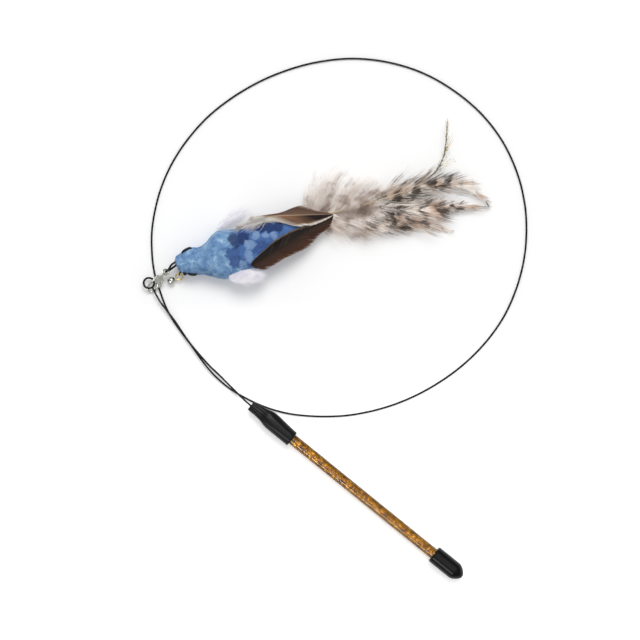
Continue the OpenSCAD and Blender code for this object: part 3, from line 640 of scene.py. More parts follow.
# %% Helpers for Geometry Nodes trees
def start_tree(name, source, inputs):
    """A new tree with one source geometry and named inputs with their usual values, and what it is given."""
    tree = bpy.data.node_groups.new(name, "GeometryNodeTree")
    tree.interface.new_socket(source, in_out="INPUT", socket_type="NodeSocketGeometry")
    kinds = {int: "NodeSocketInt", float: "NodeSocketFloat", tuple: "NodeSocketVector"}
    for label, value in inputs.items():
        socket = tree.interface.new_socket(label, in_out="INPUT", socket_type=kinds[type(value)])
        socket.default_value = value
    tree.interface.new_socket("Finish", in_out="INPUT", socket_type="NodeSocketMaterial")
    tree.interface.new_socket("Result", in_out="OUTPUT", socket_type="NodeSocketGeometry")
    return tree, add(tree, "NodeGroupInput").outputs


def points_of_lines(tree, count, each):
    """Loose points, the same number for every line, with the number of each point's line and its step on it."""
    points = add(tree, "GeometryNodePoints", {"Count": calc(tree, "*", count, each)}).outputs[0]
    index = add(tree, "GeometryNodeInputIndex").outputs[0]
    line = calc(tree, "FLOOR", calc(tree, "/", index, each))
    return points, line, calc(tree, "%", index, each)


def lines_through(tree, points, places, line, **values):
    """Curves through points that are moved to their places. Each point keeps the named values."""
    placed = add(tree, "GeometryNodeSetPosition", {"Geometry": points, "Position": places}).outputs[0]
    for label, value in values.items():
        placed = store(tree, placed, label, value)
    return add(tree, "GeometryNodePointsToCurves", {"Points": placed, "Curve Group ID": line}).outputs[0]


def store(tree, geometry, label, value, kind="FLOAT"):
    """Stores a named value on every point."""
    return add(tree, "GeometryNodeStoreNamedAttribute", {"Geometry": geometry, "Name": label, "Value": value},
               data_type=kind, domain="POINT").outputs[0]


def stored(tree, label, kind="FLOAT"):
    """The named value that a point has."""
    return add(tree, "GeometryNodeInputNamedAttribute", {"Name": label}, data_type=kind).outputs[0]


def lot(tree, item, seed, low=0.0):
    """A random number up to 1 for every item."""
    sockets = {2: low, 3: 1.0, "ID": item, "Seed": seed}
    return add(tree, "FunctionNodeRandomValue", sockets, data_type="FLOAT").outputs[1]


def along_curve(tree, curve, share, **value):
    """What a curve has at a share of its length: its place, its direction and a value that its points carry."""
    return add(tree, "GeometryNodeSampleCurve", {"Curves": curve, "Factor": share, **value}, mode="FACTOR",
               use_all_curves=True, data_type="FLOAT_VECTOR").outputs


def section_of(tree, sides):
    """A round section of radius 1."""
    return add(tree, "GeometryNodeCurvePrimitiveCircle", {"Resolution": sides, "Radius": 1.0}).outputs[0]


def tube(tree, curve, section, radius):
    """A closed tube along curves."""
    return add(tree, "GeometryNodeCurveToMesh", {
        "Curve": curve, "Profile Curve": section, "Scale": radius, "Fill Caps": True}).outputs[0]


def finish_tree(tree, finish, *parts):
    """Joins the parts, makes them real and smooth, gives them their material and sends them out."""
    whole = add(tree, "GeometryNodeJoinGeometry")
    for part in parts:
        tree.links.new(part, whole.inputs[0])
    level = add(tree, "GeometryNodeSetShadeSmooth", {"Geometry": whole.outputs[0]}).outputs[0]
    real = add(tree, "GeometryNodeRealizeInstances", {"Geometry": level}).outputs[0]
    done = add(tree, "GeometryNodeSetMaterial", {"Geometry": real, "Material": finish}).outputs[0]
    add(tree, "NodeGroupOutput", {0: done})
    print(tree.name, "has", len(tree.nodes), "nodes")
    return tree


print("tree helpers are ready")

# %% [markdown]
# In the braid, even strands turn one way and odd strands the other. A strand rises over one crossing and dips
# under the next, by a quarter of its own radius. The core inside is a plain tube.

# %% Geometry Nodes: strands braided round a path
tree, given = start_tree("braided_cord", "Path", {
    "Strands each way": 4, "Points per strand": 160, "Turns": 8.0, "Cord radius": 0.0005, "Strand radius": 0.0002})
path = add(tree, "GeometryNodeMeshToCurve", {"Mesh": given["Path"]}).outputs[0]
both = calc(tree, "*", given["Strands each way"], 2.0)
points, strand, step = points_of_lines(tree, both, given["Points per strand"])
along = calc(tree, "/", step, calc(tree, "-", given["Points per strand"], 1.0))
way = calc(tree, "*+", calc(tree, "%", strand, 2.0), 2.0, -1.0)
start = calc(tree, "/", strand, both)
turned = calc(tree, "*", along, given["Turns"])
angle = calc(tree, "*", calc(tree, "*+", turned, way, start), math.tau)
crossing = calc(tree, "*", angle, given["Strands each way"])
lift = calc(tree, "*", calc(tree, "SINE", crossing), way)
rise = calc(tree, "*", lift, given["Strand radius"])
inner = calc(tree, "-", given["Cord radius"], given["Strand radius"])
reach = calc(tree, "*+", rise, 0.25, inner)
spot = along_curve(tree, path, along)
across = vec(tree, "CROSS_PRODUCT", spot["Tangent"], spot["Normal"])
first = vec(tree, "SCALE", spot["Normal"], calc(tree, "COSINE", angle))
second = vec(tree, "SCALE", across, calc(tree, "SINE", angle))
offset = vec(tree, "SCALE", vec(tree, "ADD", first, second), reach)
lines = lines_through(tree, points, vec(tree, "ADD", spot["Position"], offset), strand)
strands = tube(tree, lines, section_of(tree, 5), given["Strand radius"])
core = tube(tree, path, section_of(tree, 10), calc(tree, "*", inner, 0.98))
braid_tree = finish_tree(tree, given["Finish"], strands, core)

# %% The doubled cord and the ring's thread
def polyline(name, line):
    """A mesh of points and edges only, for a tree to follow."""
    mesh = bpy.data.meshes.new(name)
    mesh.from_pydata([tuple(p) for p in line], [(i, i + 1) for i in range(len(line) - 1)], [])
    return show(name, mesh)


PITCH, CORD_SHARE, STRAND_SHARE = 2.6, 0.54, 0.25  # one turn, a braid's radius and a strand's, in cord diameters


def braided(name, points_mm, place, steps, diameter, body, nodes):
    """A braided cord through points of a frame, riding on a body."""
    line = in_metres(smooth_route(points_mm, steps), place)
    turns = route_length(line) / (PITCH * diameter * MM)
    cord = grow(braid_tree, polyline(name, line), **{
        "Strands each way": 4, "Points per strand": int(max(40, 14 * turns)), "Turns": turns,
        "Cord radius": CORD_SHARE * diameter * MM, "Strand radius": STRAND_SHARE * diameter * MM,
        "Finish": braid_black})
    fasten(cord, body, "black_cord", *nodes)
    print(name, round(route_length(line) * 1000, 1), "mm,", faces_of(cord), "triangles")
    return cord, line


CORD_D, CORD_SIDE = 1.3, 0.8
cord_top, cord_low = TAIL.z + 2.3 * CORD_D, TAIL.z - 2.3 * CORD_D
nose_x, nose_y = NOSE.x, NOSE.y
knot_at = Vector((nose_x + 0.075 * HEAD_L, nose_y, 0.45 * HEAD_T))
CORD_POINTS = [
    knot_at + Vector((0, CORD_SIDE, 0)), (nose_x + CORD_D, nose_y + CORD_SIDE, 0.46 * HEAD_T),
    (0.62 * nose_x, 0.72 * nose_y + CORD_SIDE, cord_top - 0.2 * CORD_D), (0.25 * nose_x, 0.2 * nose_y, cord_top),
    (0, 0, cord_top - CORD_D), (0, 0, TAIL.z), (0, 0, cord_low + CORD_D),
    (0.25 * nose_x, 0.1 * nose_y, cord_low), (0.62 * nose_x, 0.62 * nose_y - CORD_SIDE, cord_low + 0.2 * CORD_D),
    (nose_x + CORD_D, nose_y - CORD_SIDE, 0.46 * HEAD_T), knot_at + Vector((0, -CORD_SIDE, 0)),
]
cord_loop, cord_line = braided("elastic_cord_loop", CORD_POINTS, on_toy, 6, CORD_D, "toy", ["cord_loop"])
dress("cord_knot", braid_black)
THREAD_POINTS = [
    (13.5, 1.2, 6.6), (11.4, 0.4, 6.8), (9.2, -1.8, 5.6), (8.2, -3.2, 4.2), (8, -3.5, 2.7),
    (8.1, -3.5, 1.4), (9.2, -2.2, 0.9), (10.8, -0.6, 3.2), (12, 0.2, 5.2), (13.5, 0.2, 5.6),
]
braided("ring_thread_loop", THREAD_POINTS, on_toy, 5, 0.8, "toy", ["ring_thread"])

# %% [markdown]
# Fur and nap are thousands of hairs that follow one rule, so one Geometry Nodes tree grows them all. Points are
# scattered over a body's surface, and each point gives a short curve: it leaves along the surface's normal, is
# combed towards one direction and wanders a little. No hair goes through the table. Thin three-sided tubes make
# the curves real, and the body itself is kept inside them.

# %% Geometry Nodes: fur over a surface
tree, given = start_tree("fur_over_surface", "Body", {
    "Hairs per square metre": 1.0e7, "Steps": 4, "Length": 0.003, "Length spread": 0.4, "Stand": 0.5, "Comb": (1, 0, 0),
    "Wander": 0.3, "Clump": 0.0, "Hair radius": 0.00004, "Seed": 0})
scatter = add(tree, "GeometryNodeDistributePointsOnFaces", {
    "Mesh": given["Body"], "Density": given["Hairs per square metre"], "Seed": given["Seed"]}).outputs
roots = store(tree, scatter["Points"], "stand", scatter["Normal"], "FLOAT_VECTOR")
counted = add(tree, "GeometryNodeAttributeDomainSize", {"Geometry": roots}, component="POINTCLOUD").outputs
points, hair, step = points_of_lines(tree, counted["Point Count"], calc(tree, "+", given["Steps"], 1.0))
out = calc(tree, "/", step, given["Steps"])
where = add(tree, "GeometryNodeInputPosition").outputs[0]
root_at, root_n = (
    add(tree, "GeometryNodeSampleIndex", {"Geometry": roots, "Value": value, "Index": hair},
        data_type="FLOAT_VECTOR").outputs[0] for value in (where, stored(tree, "stand", "FLOAT_VECTOR")))
chance = lot(tree, hair, given["Seed"])
drift = add(tree, "FunctionNodeRandomValue", {
    0: (-1, -1, -1), 1: (1, 1, 1), "ID": hair, "Seed": given["Seed"]}, data_type="FLOAT_VECTOR").outputs[0]
kept = calc(tree, "-", 1.0, calc(tree, "*", chance, given["Length spread"]))
long = calc(tree, "*", given["Length"], kept)
# The standing part fades towards the tip, while the combed part grows.
standing = vec(tree, "SCALE", root_n, given["Stand"])
locks = add(tree, "ShaderNodeTexNoise", {"Vector": root_at, "Scale": 320.0, "Detail": 1.0}).outputs["Color"]
lock = vec(tree, "SCALE", vec(tree, "SUBTRACT", locks, (0.5, 0.5, 0.5)), given["Clump"])
loose = vec(tree, "ADD", vec(tree, "SCALE", drift, given["Wander"]), lock)
combed = vec(tree, "ADD", given["Comb"], loose)
flat_part = vec(tree, "SCALE", combed, calc(tree, "*", out, out))
whole_way = vec(tree, "ADD", vec(tree, "SCALE", standing, out), flat_part)
reached = vec(tree, "ADD", root_at, vec(tree, "SCALE", whole_way, long))
# Only the height is held, because nothing is as far to the side as -9 m. Hairs may lie closer than cloth.
above = vec(tree, "MAXIMUM", reached, (-9, -9, LOWEST / 2))
lines = lines_through(tree, points, above, hair, out=out, chance=chance)
thin = calc(tree, "*+", stored(tree, "out"), -0.8, 1.0)
hairs = tube(tree, lines, section_of(tree, 3), calc(tree, "*", thin, given["Hair radius"]))
fur_tree = finish_tree(tree, given["Finish"], hairs)

# %% [markdown]
# The head is a sewn pouch of brushed cotton flannel, stuffed with loose fibre. The plain half is pale blue. The
# rear half carries a generic print of soft round blotches in navy, mid blue and pale blue, drawn here as circles
# whose distance is disturbed by noise, so that their edges look printed on a brushed cloth. A row of navy circles
# along the upper edge is not print but a painted shadow under the upper wing feather. Flannel has a short
# raised nap, which gives it a dull, soft edge: high roughness, some sheen, and a bump from its weave.

# %% Material: printed brushed flannel
flannel, tree, shader = start_material("printed_brushed_flannel", **{
    "Roughness": 0.9, "IOR": 1.45, "Specular IOR Level": 0.2, "Sheen Weight": 0.2, "Sheen Roughness": 0.5})
place = own_place(tree)
to_toy = add(tree, "ShaderNodeMapping", {"Vector": place, "Location": (-TAIL.x * MM, -TAIL.y * MM, 0)}).outputs[0]
turned = add(tree, "ShaderNodeMapping", {"Vector": to_toy, "Rotation": (0, 0, -math.radians(12))}).outputs[0]
cloth_mm = vec(tree, "SCALE", turned, 1000.0)
parts = add(tree, "ShaderNodeSeparateXYZ", {0: cloth_mm}).outputs
flat = add(tree, "ShaderNodeCombineXYZ", {0: parts[0], 1: parts[1]}).outputs[0]
mottle = noise(tree, cloth_mm, 0.2, 5.0, roughness=0.65, distortion=0.2)
ground = paint(tree, mottle, [(0.34, "#5C84B4"), (0.46, "#769CC5"), (0.56, "#8AB0D3"), (0.67, "#B2CEE5")])
ragged = add(tree, "ShaderNodeTexNoise", {
    "Vector": cloth_mm, "Scale": 0.28, "Detail": 4.0, "Roughness": 0.7}).outputs["Color"]
off = vec(tree, "SCALE", vec(tree, "SUBTRACT", ragged, (0.5, 0.5, 0.5)), 7.0)
flat_far = vec(tree, "ADD", flat, off)
# Each group of blotches: colour, blotches as x, y and radius in the toy's millimetres
PRINT_AND_SHADOW_BLOTCHES = [
    ("#4B71AD", [(57, 1, 9.5), (59, 11, 9.0), (71, 6, 11.0), (84, 14, 9.0)]),
    ("#44629A", [(45.3, 2.0, 4.6), (46.0, -2.6, 4.4), (61.5, 2.9, 4.2), (66, 1.8, 4.0)]),
    # Navy: the first three circles are print; the row of four from x 62 to 77 is a painted shadow under the upper wing
    # feather.
    ("#273A6B", [(47.9, 11.4, 3.9), (53.2, 10.9, 4.4), (48.8, 6.6, 1.8), (62.5, 15.8, 3.3), (67, 14.9, 3.4),
                 (72, 13.9, 3.4), (77, 13, 3.6)]),
    ("#8AA8CE", [(62.2, 10.7, 2.5), (68.4, 9.2, 2.0), (73.5, 8.1, 2.1), (57, 5.8, 3.5), (54.7, 0.2, 2.5),
                 (55.2, -3.6, 2.5), (50.2, -5.4, 2.2)]),
]
colour = ground
for code, blotches in PRINT_AND_SHADOW_BLOTCHES:
    nearest = None
    for x, y, radius in blotches:
        edge = calc(tree, "-", vec(tree, "DISTANCE", flat_far, (x, y, 0)), radius)
        nearest = edge if nearest is None else calc(tree, "MINIMUM", nearest, edge)
    inside = remap(tree, nearest, -0.5, 0.6, 1.0, 0.0)
    colour = mix(tree, calc(tree, "*", inside, 0.9), colour, linear(code))
# Brushing wears the print: the nap lets a little of the ground through in specks half a millimetre wide.
speck = noise(tree, cloth_mm, 1.8, 2.0)
worn = paint(tree, speck, [(0.35, "#C6CEDB"), (0.6, "#FFFFFF")])
feed(shader, "Base Color", mix(tree, 1.0, colour, worn, "MULTIPLY"))
WEAVE_SCALE = 1000 / 5.85  # waves 1.8 mm wide
weave_x, weave_y = (
    add(tree, "ShaderNodeTexWave", {"Vector": turned, "Scale": WEAVE_SCALE, "Distortion": 1.2, "Detail": 1.0},
        bands_direction=way).outputs["Fac"] for way in "XY")
rumple = noise(tree, cloth_mm, 0.11, 2.0, distortion=0.8)
big = relief(tree, rumple, 0.75, 0.004)
feed(shader, "Normal", relief(tree, calc(tree, "+", weave_x, weave_y), 0.2, 0.00025, big))
print("made", flannel.name, "with", sum(len(b) for _, b in PRINT_AND_SHADOW_BLOTCHES), "blotches")

# %% [markdown]
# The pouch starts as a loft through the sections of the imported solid, a little smaller. Its cloth is then really
# inflated: the mesh is rebuilt from voxels, given Blender's Cloth with inner pressure and no gravity, and run for
# twenty frames. Cloth behaves best on things about a metre long, so the pouch is twenty times as large while it is
# simulated. The move of each point is capped, so the pouch keeps its measured outline.

# %% The stuffed head, inflated as cloth
HEAD_ROWS = [
    # along, sideways, half width, half thickness, height of the centre, as shares
    (0, 0.005, 0.07, 0.15, 0.46), (0.043, -0.055, 0.195, 0.27, 0.45), (0.13, -0.04, 0.295, 0.37, 0.44),
    (0.206, -0.066, 0.315, 0.43, 0.45), (0.274, -0.06, 0.41, 0.47, 0.475), (0.35, -0.03, 0.51, 0.5, 0.5),
    (0.46, -0.045, 0.495, 0.5, 0.5), (0.62, -0.005, 0.455, 0.46, 0.47), (0.76, 0.075, 0.37, 0.37, 0.41),
    (0.88, 0.16, 0.25, 0.26, 0.38), (0.97, 0.235, 0.13, 0.18, 0.375), (1, 0.255, 0.105, 0.17, 0.375),
]


def head_point(row, angle, inset):
    """A point of the head's surface in the toy's millimetres. The two side seams pull the section to soft edges."""
    c, s = math.cos(angle), math.sin(angle)
    thick = abs(s) ** 1.15 * (1 if s >= 0 else -1)
    return Vector((NOSE.x + row[0] * HEAD_L, NOSE.y + row[1] * HEAD_W + (row[2] * HEAD_W - inset) * c,
                   row[4] * HEAD_T + (row[3] * HEAD_T - inset) * thick))


head_rows = smooth_rows(np.array(HEAD_ROWS, float), 4)
CLOTH_SCALE, CLOTH_INSET, CLOTH_CAP = 20.0, 0.6, 1.3
head_rings = [[on_toy @ head_point(row, a, CLOTH_INSET) * MM * CLOTH_SCALE for a in turns_of(48)] for row in head_rows]
head = show("flannel_head", loft("flannel_head", head_rings))
voxels = head.modifiers.new("voxels", "REMESH")
voxels.mode, voxels.voxel_size = "VOXEL", 1.25 * MM * CLOTH_SCALE
head = bake(head)
before = np.array([v.co for v in head.data.vertices])
cloth = head.modifiers.new("cloth", "CLOTH")
for label, value in (
    ("quality", 6), ("mass", 0.3), ("tension_stiffness", 12), ("compression_stiffness", 12),
    ("bending_stiffness", 0.6), ("shrink_min", -0.06), ("use_pressure", True), ("uniform_pressure_force", 4),
):
    setattr(cloth.settings, label, value)
cloth.settings.effector_weights.gravity = 0
for number in range(1, 21):
    bpy.context.scene.frame_set(number)
head = bake(head)
bpy.context.scene.frame_set(1)
after = np.array([v.co for v in head.data.vertices])
move = after - before
length = np.linalg.norm(move, axis=1)
cap = CLOTH_CAP * MM * CLOTH_SCALE
move *= (np.minimum(length, cap) / np.maximum(length, 1e-9))[:, None]
settled = (before + move) / CLOTH_SCALE
settled[:, 2] = np.maximum(settled[:, 2], LOWEST)
head.data.vertices.foreach_set("co", settled.astype(np.float32).ravel())
head.data.update()
head.data.materials.append(flannel)
head.data.polygons.foreach_set("use_smooth", [True] * len(head.data.polygons))
head.modifiers.new("finer", "SUBSURF").levels = 1
head.modifiers["finer"].render_levels = 1
head = bake(head)
print("head has", faces_of(head), "triangles")
print("its cloth moved by up to", round(float(length.max()) / CLOTH_SCALE * 1000, 2), "mm")

# %% [markdown]
# The nap is the raised fibre of the flannel, at most 1.1 mm long. It takes the print's colour where it stands,
# because its material reads the same object coordinates. The seam that closes the pouch runs along both edges as
# a thin welt, and the filling is never seen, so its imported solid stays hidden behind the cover.

# %% Nap, seam welt and what the head stands for
nap = grow(fur_tree, twin(head, "flannel_nap"), **{
    "Hairs per square metre": 3.2e6, "Steps": 2, "Length": 0.0011, "Length spread": 0.6, "Stand": 0.55,
    "Comb": (0.35, -0.05, 0.0), "Wander": 0.55, "Clump": 0.8, "Hair radius": 0.00005, "Seed": 3, "Finish": flannel})
# The inflated cloth has moved, so each point of the seam is put on the nearest point of the cloth.
cloth_skin = BVHTree.FromPolygons([v.co for v in head.data.vertices], [p.vertices for p in head.data.polygons])
for side, turn in enumerate((0, math.pi)):
    line = [cloth_skin.find_nearest(on_toy @ head_point(row, turn, 0.0) * MM)[0] for row in head_rows[1:-1]]
    line = [line[0]] + [(line[i - 1] + line[i] * 2 + line[i + 1]) / 4 for i in range(1, len(line) - 1)] + [line[-1]]
    rings = []
    for i, at in enumerate(line):
        ahead = (line[min(i + 1, len(line) - 1)] - line[max(i - 1, 0)]).normalized()
        across = Vector((0, 0, 1)).cross(ahead).normalized()
        up = ahead.cross(across)
        width = (0.5 + 0.1 * math.sin(i * 1.7 + side)) * MM
        rings.append([at + across * math.cos(a) * width + up * math.sin(a) * 0.42 * MM for a in turns_of(10)])
    welt = show("seam_welt_" + ("back", "front")[side], loft("seam_welt", rings), flannel)
    fasten(welt, "toy", "blue_fabric")
fasten(head, "toy", "blue_fabric", "head_cover", "head_filling")
fasten(nap, "toy", "blue_fabric")
print("nap has", faces_of(nap), "triangles")

# %% [markdown]
# Three stitches of the same black cord show on the nose's two edges, where the cord is sewn in. Each is a short
# arch: it comes out of the cloth, lies on the edge and goes back in.

# %% Nose stitches
STITCHES = [
    # start, end and height of its ends, as shares of the head's length, width and thickness
    (0.05, 0.215, 0.135, 0.275, 0.6), (0.074, -0.262, 0.13, -0.325, 0.56), (0.046, -0.2, 0.037, -0.325, 0.54),
]
for number, (x1, y1, x2, y2, z) in enumerate(STITCHES):
    a = Vector((NOSE.x + x1 * HEAD_L, NOSE.y + y1 * HEAD_W, z * HEAD_T))
    b = Vector((NOSE.x + x2 * HEAD_L, NOSE.y + y2 * HEAD_W, z * HEAD_T))
    arch = []
    for share, height in ((0, -0.9), (0.04, 0.1), (0.2, 0.6), (0.5, 0.75), (0.8, 0.6), (0.96, 0.1), (1, -0.9)):
        at, normal = cloth_skin.find_nearest(on_toy @ a.lerp(b, share) * MM)[:2]
        arch.append(at / MM + normal * height)
    braided("nose_stitch_%d" % (number + 1), arch, None, 5, 1.5, "toy", ["nose_stitches"])

# %% [markdown]
# The two tufts are white rabbit-like fur on a small skin. Each has a body, made from the sections of the packed
# solid, and fur grown over it. White fur is never pure white: light passes through the hairs and the roots lie in
# their own shade, so the colour here is a pale cool grey-white and some light shines through. The fur also emits
# a faint painted light in its own colour.

# %% Material: white fur
def let_light_through(tree, shader, share, code, lift=0.0):
    """Mixes in light that comes through from behind. The lift is painted light: an emission in the base colour that
    stands for the light fine hairs pass around.
    """
    if lift:
        tree.links.new(shader.inputs["Base Color"].links[0].from_socket, shader.inputs["Emission Color"])
        shader.inputs["Emission Strength"].default_value = lift
    behind = add(tree, "ShaderNodeBsdfTranslucent", {"Color": linear(code)})
    both = add(tree, "ShaderNodeMixShader", {0: share, 1: shader.outputs[0], 2: behind.outputs[0]})
    resurface(tree, both)


white_fur, tree, shader = mottled(
    "white_rabbit_fur", 240.0, 3.0, [(0.32, "#E6E3EC"), (0.5, "#F5F3F8"), (0.65, "#FFFEFF")],
    **{"Roughness": 0.75, "IOR": 1.5, "Specular IOR Level": 0.2})
# Painted light: the fur emits a faint light in its own colour.
let_light_through(tree, shader, 0.25, "#FFFFFF", 0.14)
print("made", white_fur.name)

# %% The two fur tufts
def tuft(name, root_mm, turn, shares, length, width, full, material, hairs):
    """A closed tuft body in the toy's frame, as full as given, with fur grown over it."""
    place = on_toy @ Matrix.Translation(root_mm) @ Matrix.Rotation(math.radians(turn), 4, "Z")
    rings = [
        [place @ Vector((s * length, w * width / 2 * full * math.cos(a), w * width * 0.38 * full * math.sin(a))) * MM
         for a in turns_of(24)]
        for s, w in smooth_rows(np.array(shares, float), 4)
    ]
    body = show(name + "_body", loft(name + "_body", rings), material)
    for vertex in body.data.vertices:
        vertex.co.z = max(vertex.co.z, LOWEST)
    coat = grow(fur_tree, twin(body, name + "_fur"), **hairs, Finish=material)
    fasten(body, "toy", "white_fur")
    fasten(coat, "toy", "white_fur", name)
    print(name, "has", faces_of(coat), "triangles of fur")


tuft("back_tuft", (NOSE.x + 0.36 * HEAD_L, NOSE.y + 0.485 * HEAD_W, 0.36 * HEAD_T), 19,
     [(0, 0.2), (0.15, 0.7), (0.4, 1), (0.7, 0.95), (0.9, 0.6), (1, 0.2)], 20, 7, 0.45, white_fur, {
         "Hairs per square metre": 3.5e6, "Steps": 4, "Length": 0.0066, "Length spread": 0.6, "Stand": 0.4,
         "Comb": (0.7, 0.5, 0.0), "Wander": 0.35, "Clump": 1.6, "Hair radius": 0.0001, "Seed": 5})
tuft("belly_tuft", (NOSE.x + 0.375 * HEAD_L, NOSE.y - 0.475 * HEAD_W, 0.715 * HEAD_T), -8,
     [(0, 0.25), (0.1, 0.65), (0.3, 0.95), (0.55, 1), (0.8, 0.8), (0.94, 0.5), (1, 0.2)], 22, 11, 0.72, white_fur, {
         "Hairs per square metre": 4e6, "Steps": 4, "Length": 0.0044, "Length spread": 0.5, "Stand": 0.4,
         "Comb": (0.75, -0.15, 0.0), "Wander": 0.3, "Clump": 1.1, "Hair radius": 0.00009, "Seed": 6})

# %% [markdown]
# A feather is a shaft, called the rachis, with barbs down both sides. Every barb follows one rule, so a single
# Geometry Nodes tree makes them all. At a share of the shaft a barb leaves at a lean angle, curves forwards,
# droops a little and ends on the feather's outline. On a flight feather the barbs are broad and lie edge on edge
# like a closed blind. On down and old tail feathers they are thin, of uneven length and cling together in tufts.

# %% Geometry Nodes: barbs down a shaft
tree, given = start_tree("feather_barbs", "Shaft", {
    "Barbs": 300, "Steps": 5, "Vane from": 0.1, "Vane to": 1.0, "Forward curl": 0.3, "Droop": 0.05, "Rise spread": 0.0,
    "Barb radius": 0.0003, "Flatness": 0.2, "Fray": 0.1, "Lean spread": 0.03, "Clump of": 8.0, "Clump pull": 0.0,
    "Clump spread": 0.0, "Lowest": LOWEST, "Seed": 0})
shaft = add(tree, "GeometryNodeMeshToCurve", {"Mesh": given["Shaft"]}).outputs[0]
points, barb, step = points_of_lines(tree, given["Barbs"], calc(tree, "+", given["Steps"], 1.0))
out = calc(tree, "/", step, given["Steps"])
parity = calc(tree, "%", barb, 2.0)
side = calc(tree, "*+", parity, -2.0, 1.0)
chance = lot(tree, barb, given["Seed"])
seed_2 = calc(tree, "+", given["Seed"], 101.0)
swing = lot(tree, barb, seed_2, -1.0)
pair, pairs = calc(tree, "*", barb, 0.5), calc(tree, "*", given["Barbs"], 0.5)
vane_long = calc(tree, "-", given["Vane to"], given["Vane from"])
along = calc(tree, "*+", calc(tree, "/", pair, pairs), vane_long, given["Vane from"])
# The shaft's own points carry the barb lengths on both sides and the lean, so the outline is the feather's own.
spot = along_curve(tree, shaft, along, Value=stored(tree, "reach", "FLOAT_VECTOR"))
reach = add(tree, "ShaderNodeSeparateXYZ", {0: spot["Value"]}).outputs
own = add(tree, "ShaderNodeMix", {0: parity, 2: reach[0], 3: reach[1]}, data_type="FLOAT").outputs[0]
kept = calc(tree, "-", 1.0, calc(tree, "*", chance, given["Fray"]))
print("so far the tree has", len(tree.nodes), "nodes")

# %% [markdown]
# Neighbouring barbs hold together by tiny hooks. Where the hooks have come apart the vane splits into clumps, and
# the barbs of one clump have one lean, one rise and one length, on top of what each barb has of its own.

# %% Geometry Nodes: clumps of barbs
clumps_on = calc(tree, "/", pair, given["Clump of"])
uneven = add(tree, "ShaderNodeTexNoise", {
    "W": clumps_on, "Scale": 0.8, "Detail": 1.0}, noise_dimensions="1D").outputs["Fac"]
ordered = calc(tree, "*+", uneven, 1.6, clumps_on)
sided = calc(tree, "*+", parity, 0.37, ordered)
clump = calc(tree, "FLOOR", sided)
within = calc(tree, "-", sided, clump)
clump_id = calc(tree, "*+", clump, 2.0, parity)
clump_lean, clump_rise = lot(tree, clump_id, given["Seed"], -1.0), lot(tree, clump_id, seed_2, -1.0)
leaned = calc(tree, "*+", swing, given["Lean spread"], reach[2])
lean = calc(tree, "*+", clump_lean, given["Clump spread"], leaned)
clump_long = calc(tree, "*+", clump_rise, given["Clump spread"], 1.0)
long = calc(tree, "*", calc(tree, "*", own, kept), clump_long)
print("so far the tree has", len(tree.nodes), "nodes")

# %% [markdown]
# Last come the places of the points. A barb goes forwards along the shaft and away from it, rises evenly, droops
# with the square of the distance, and never goes below the table. Its flat section narrows only near the tip. The
# shaft is a round tube with 0 for its side, so one material paints both.

# %% Geometry Nodes: the barbs' own curves
outward = vec(tree, "NORMALIZE", vec(tree, "CROSS_PRODUCT", (0, 0, 1), spot["Tangent"]))
sideways = calc(tree, "*", calc(tree, "SINE", lean), side)
curled = calc(tree, "*+", out, given["Forward curl"], calc(tree, "COSINE", lean))
# The pull draws a clump's barbs towards its middle.
spacing = calc(tree, "/", given["Clump of"], pairs)
clump_wide = calc(tree, "*", spacing, add(tree, "GeometryNodeCurveLength", {"Curve": shaft}).outputs[0])
to_middle = calc(tree, "*", calc(tree, "-", 0.5, within), clump_wide)
pulled = calc(tree, "*", to_middle, given["Clump pull"])
forward = calc(tree, "*", calc(tree, "*+", curled, long, pulled), out)
away = calc(tree, "*", calc(tree, "*", long, out), sideways)
rising = calc(tree, "*+", swing, 0.5, clump_rise)
lifted = calc(tree, "*", calc(tree, "*", rising, given["Rise spread"]), out)
drooped = calc(tree, "*", calc(tree, "*", out, out), given["Droop"])
up = calc(tree, "*", calc(tree, "-", lifted, drooped), long)
moved = vec(tree, "ADD", vec(tree, "SCALE", spot["Tangent"], forward), vec(tree, "SCALE", outward, away))
moved = vec(tree, "ADD", moved, add(tree, "ShaderNodeCombineXYZ", {2: up}).outputs[0])
floor_at = add(tree, "ShaderNodeCombineXYZ", {0: -9.0, 1: -9.0, 2: given["Lowest"]}).outputs[0]
above = vec(tree, "MAXIMUM", vec(tree, "ADD", spot["Position"], moved), floor_at)
lines = lines_through(tree, points, above, barb, out=out, along=along, side=side, chance=chance)
level = add(tree, "GeometryNodeSetCurveNormal", {"Curve": lines}, mode="Z_UP").outputs[0]
squash = add(tree, "ShaderNodeCombineXYZ", {0: 1.0, 1: given["Flatness"], 2: 1.0}).outputs[0]
section = add(tree, "GeometryNodeTransform", {"Geometry": section_of(tree, 4), "Scale": squash}).outputs[0]
thin = calc(tree, "*+", calc(tree, "POWER", stored(tree, "out"), 4.0), -0.75, 1.0)
barbs = tube(tree, level, section, calc(tree, "*", thin, given["Barb radius"]))
quill_line = store(tree, shaft, "side", 0.0)
quill_line = store(tree, quill_line, "along", add(tree, "GeometryNodeSplineParameter").outputs["Factor"])
quill = tube(tree, quill_line, section_of(tree, 8), stored(tree, "quill"))
barb_tree = finish_tree(tree, given["Finish"], barbs, quill)

# %% [markdown]
# A shaft is a line of points. Each point stores how long a barb must be on each side so that its tip, which lies
# further forward, lands on the feather's outline. The outlines are the same tables of shares as the solids have:
# along, sideways, height, and the left and right width.

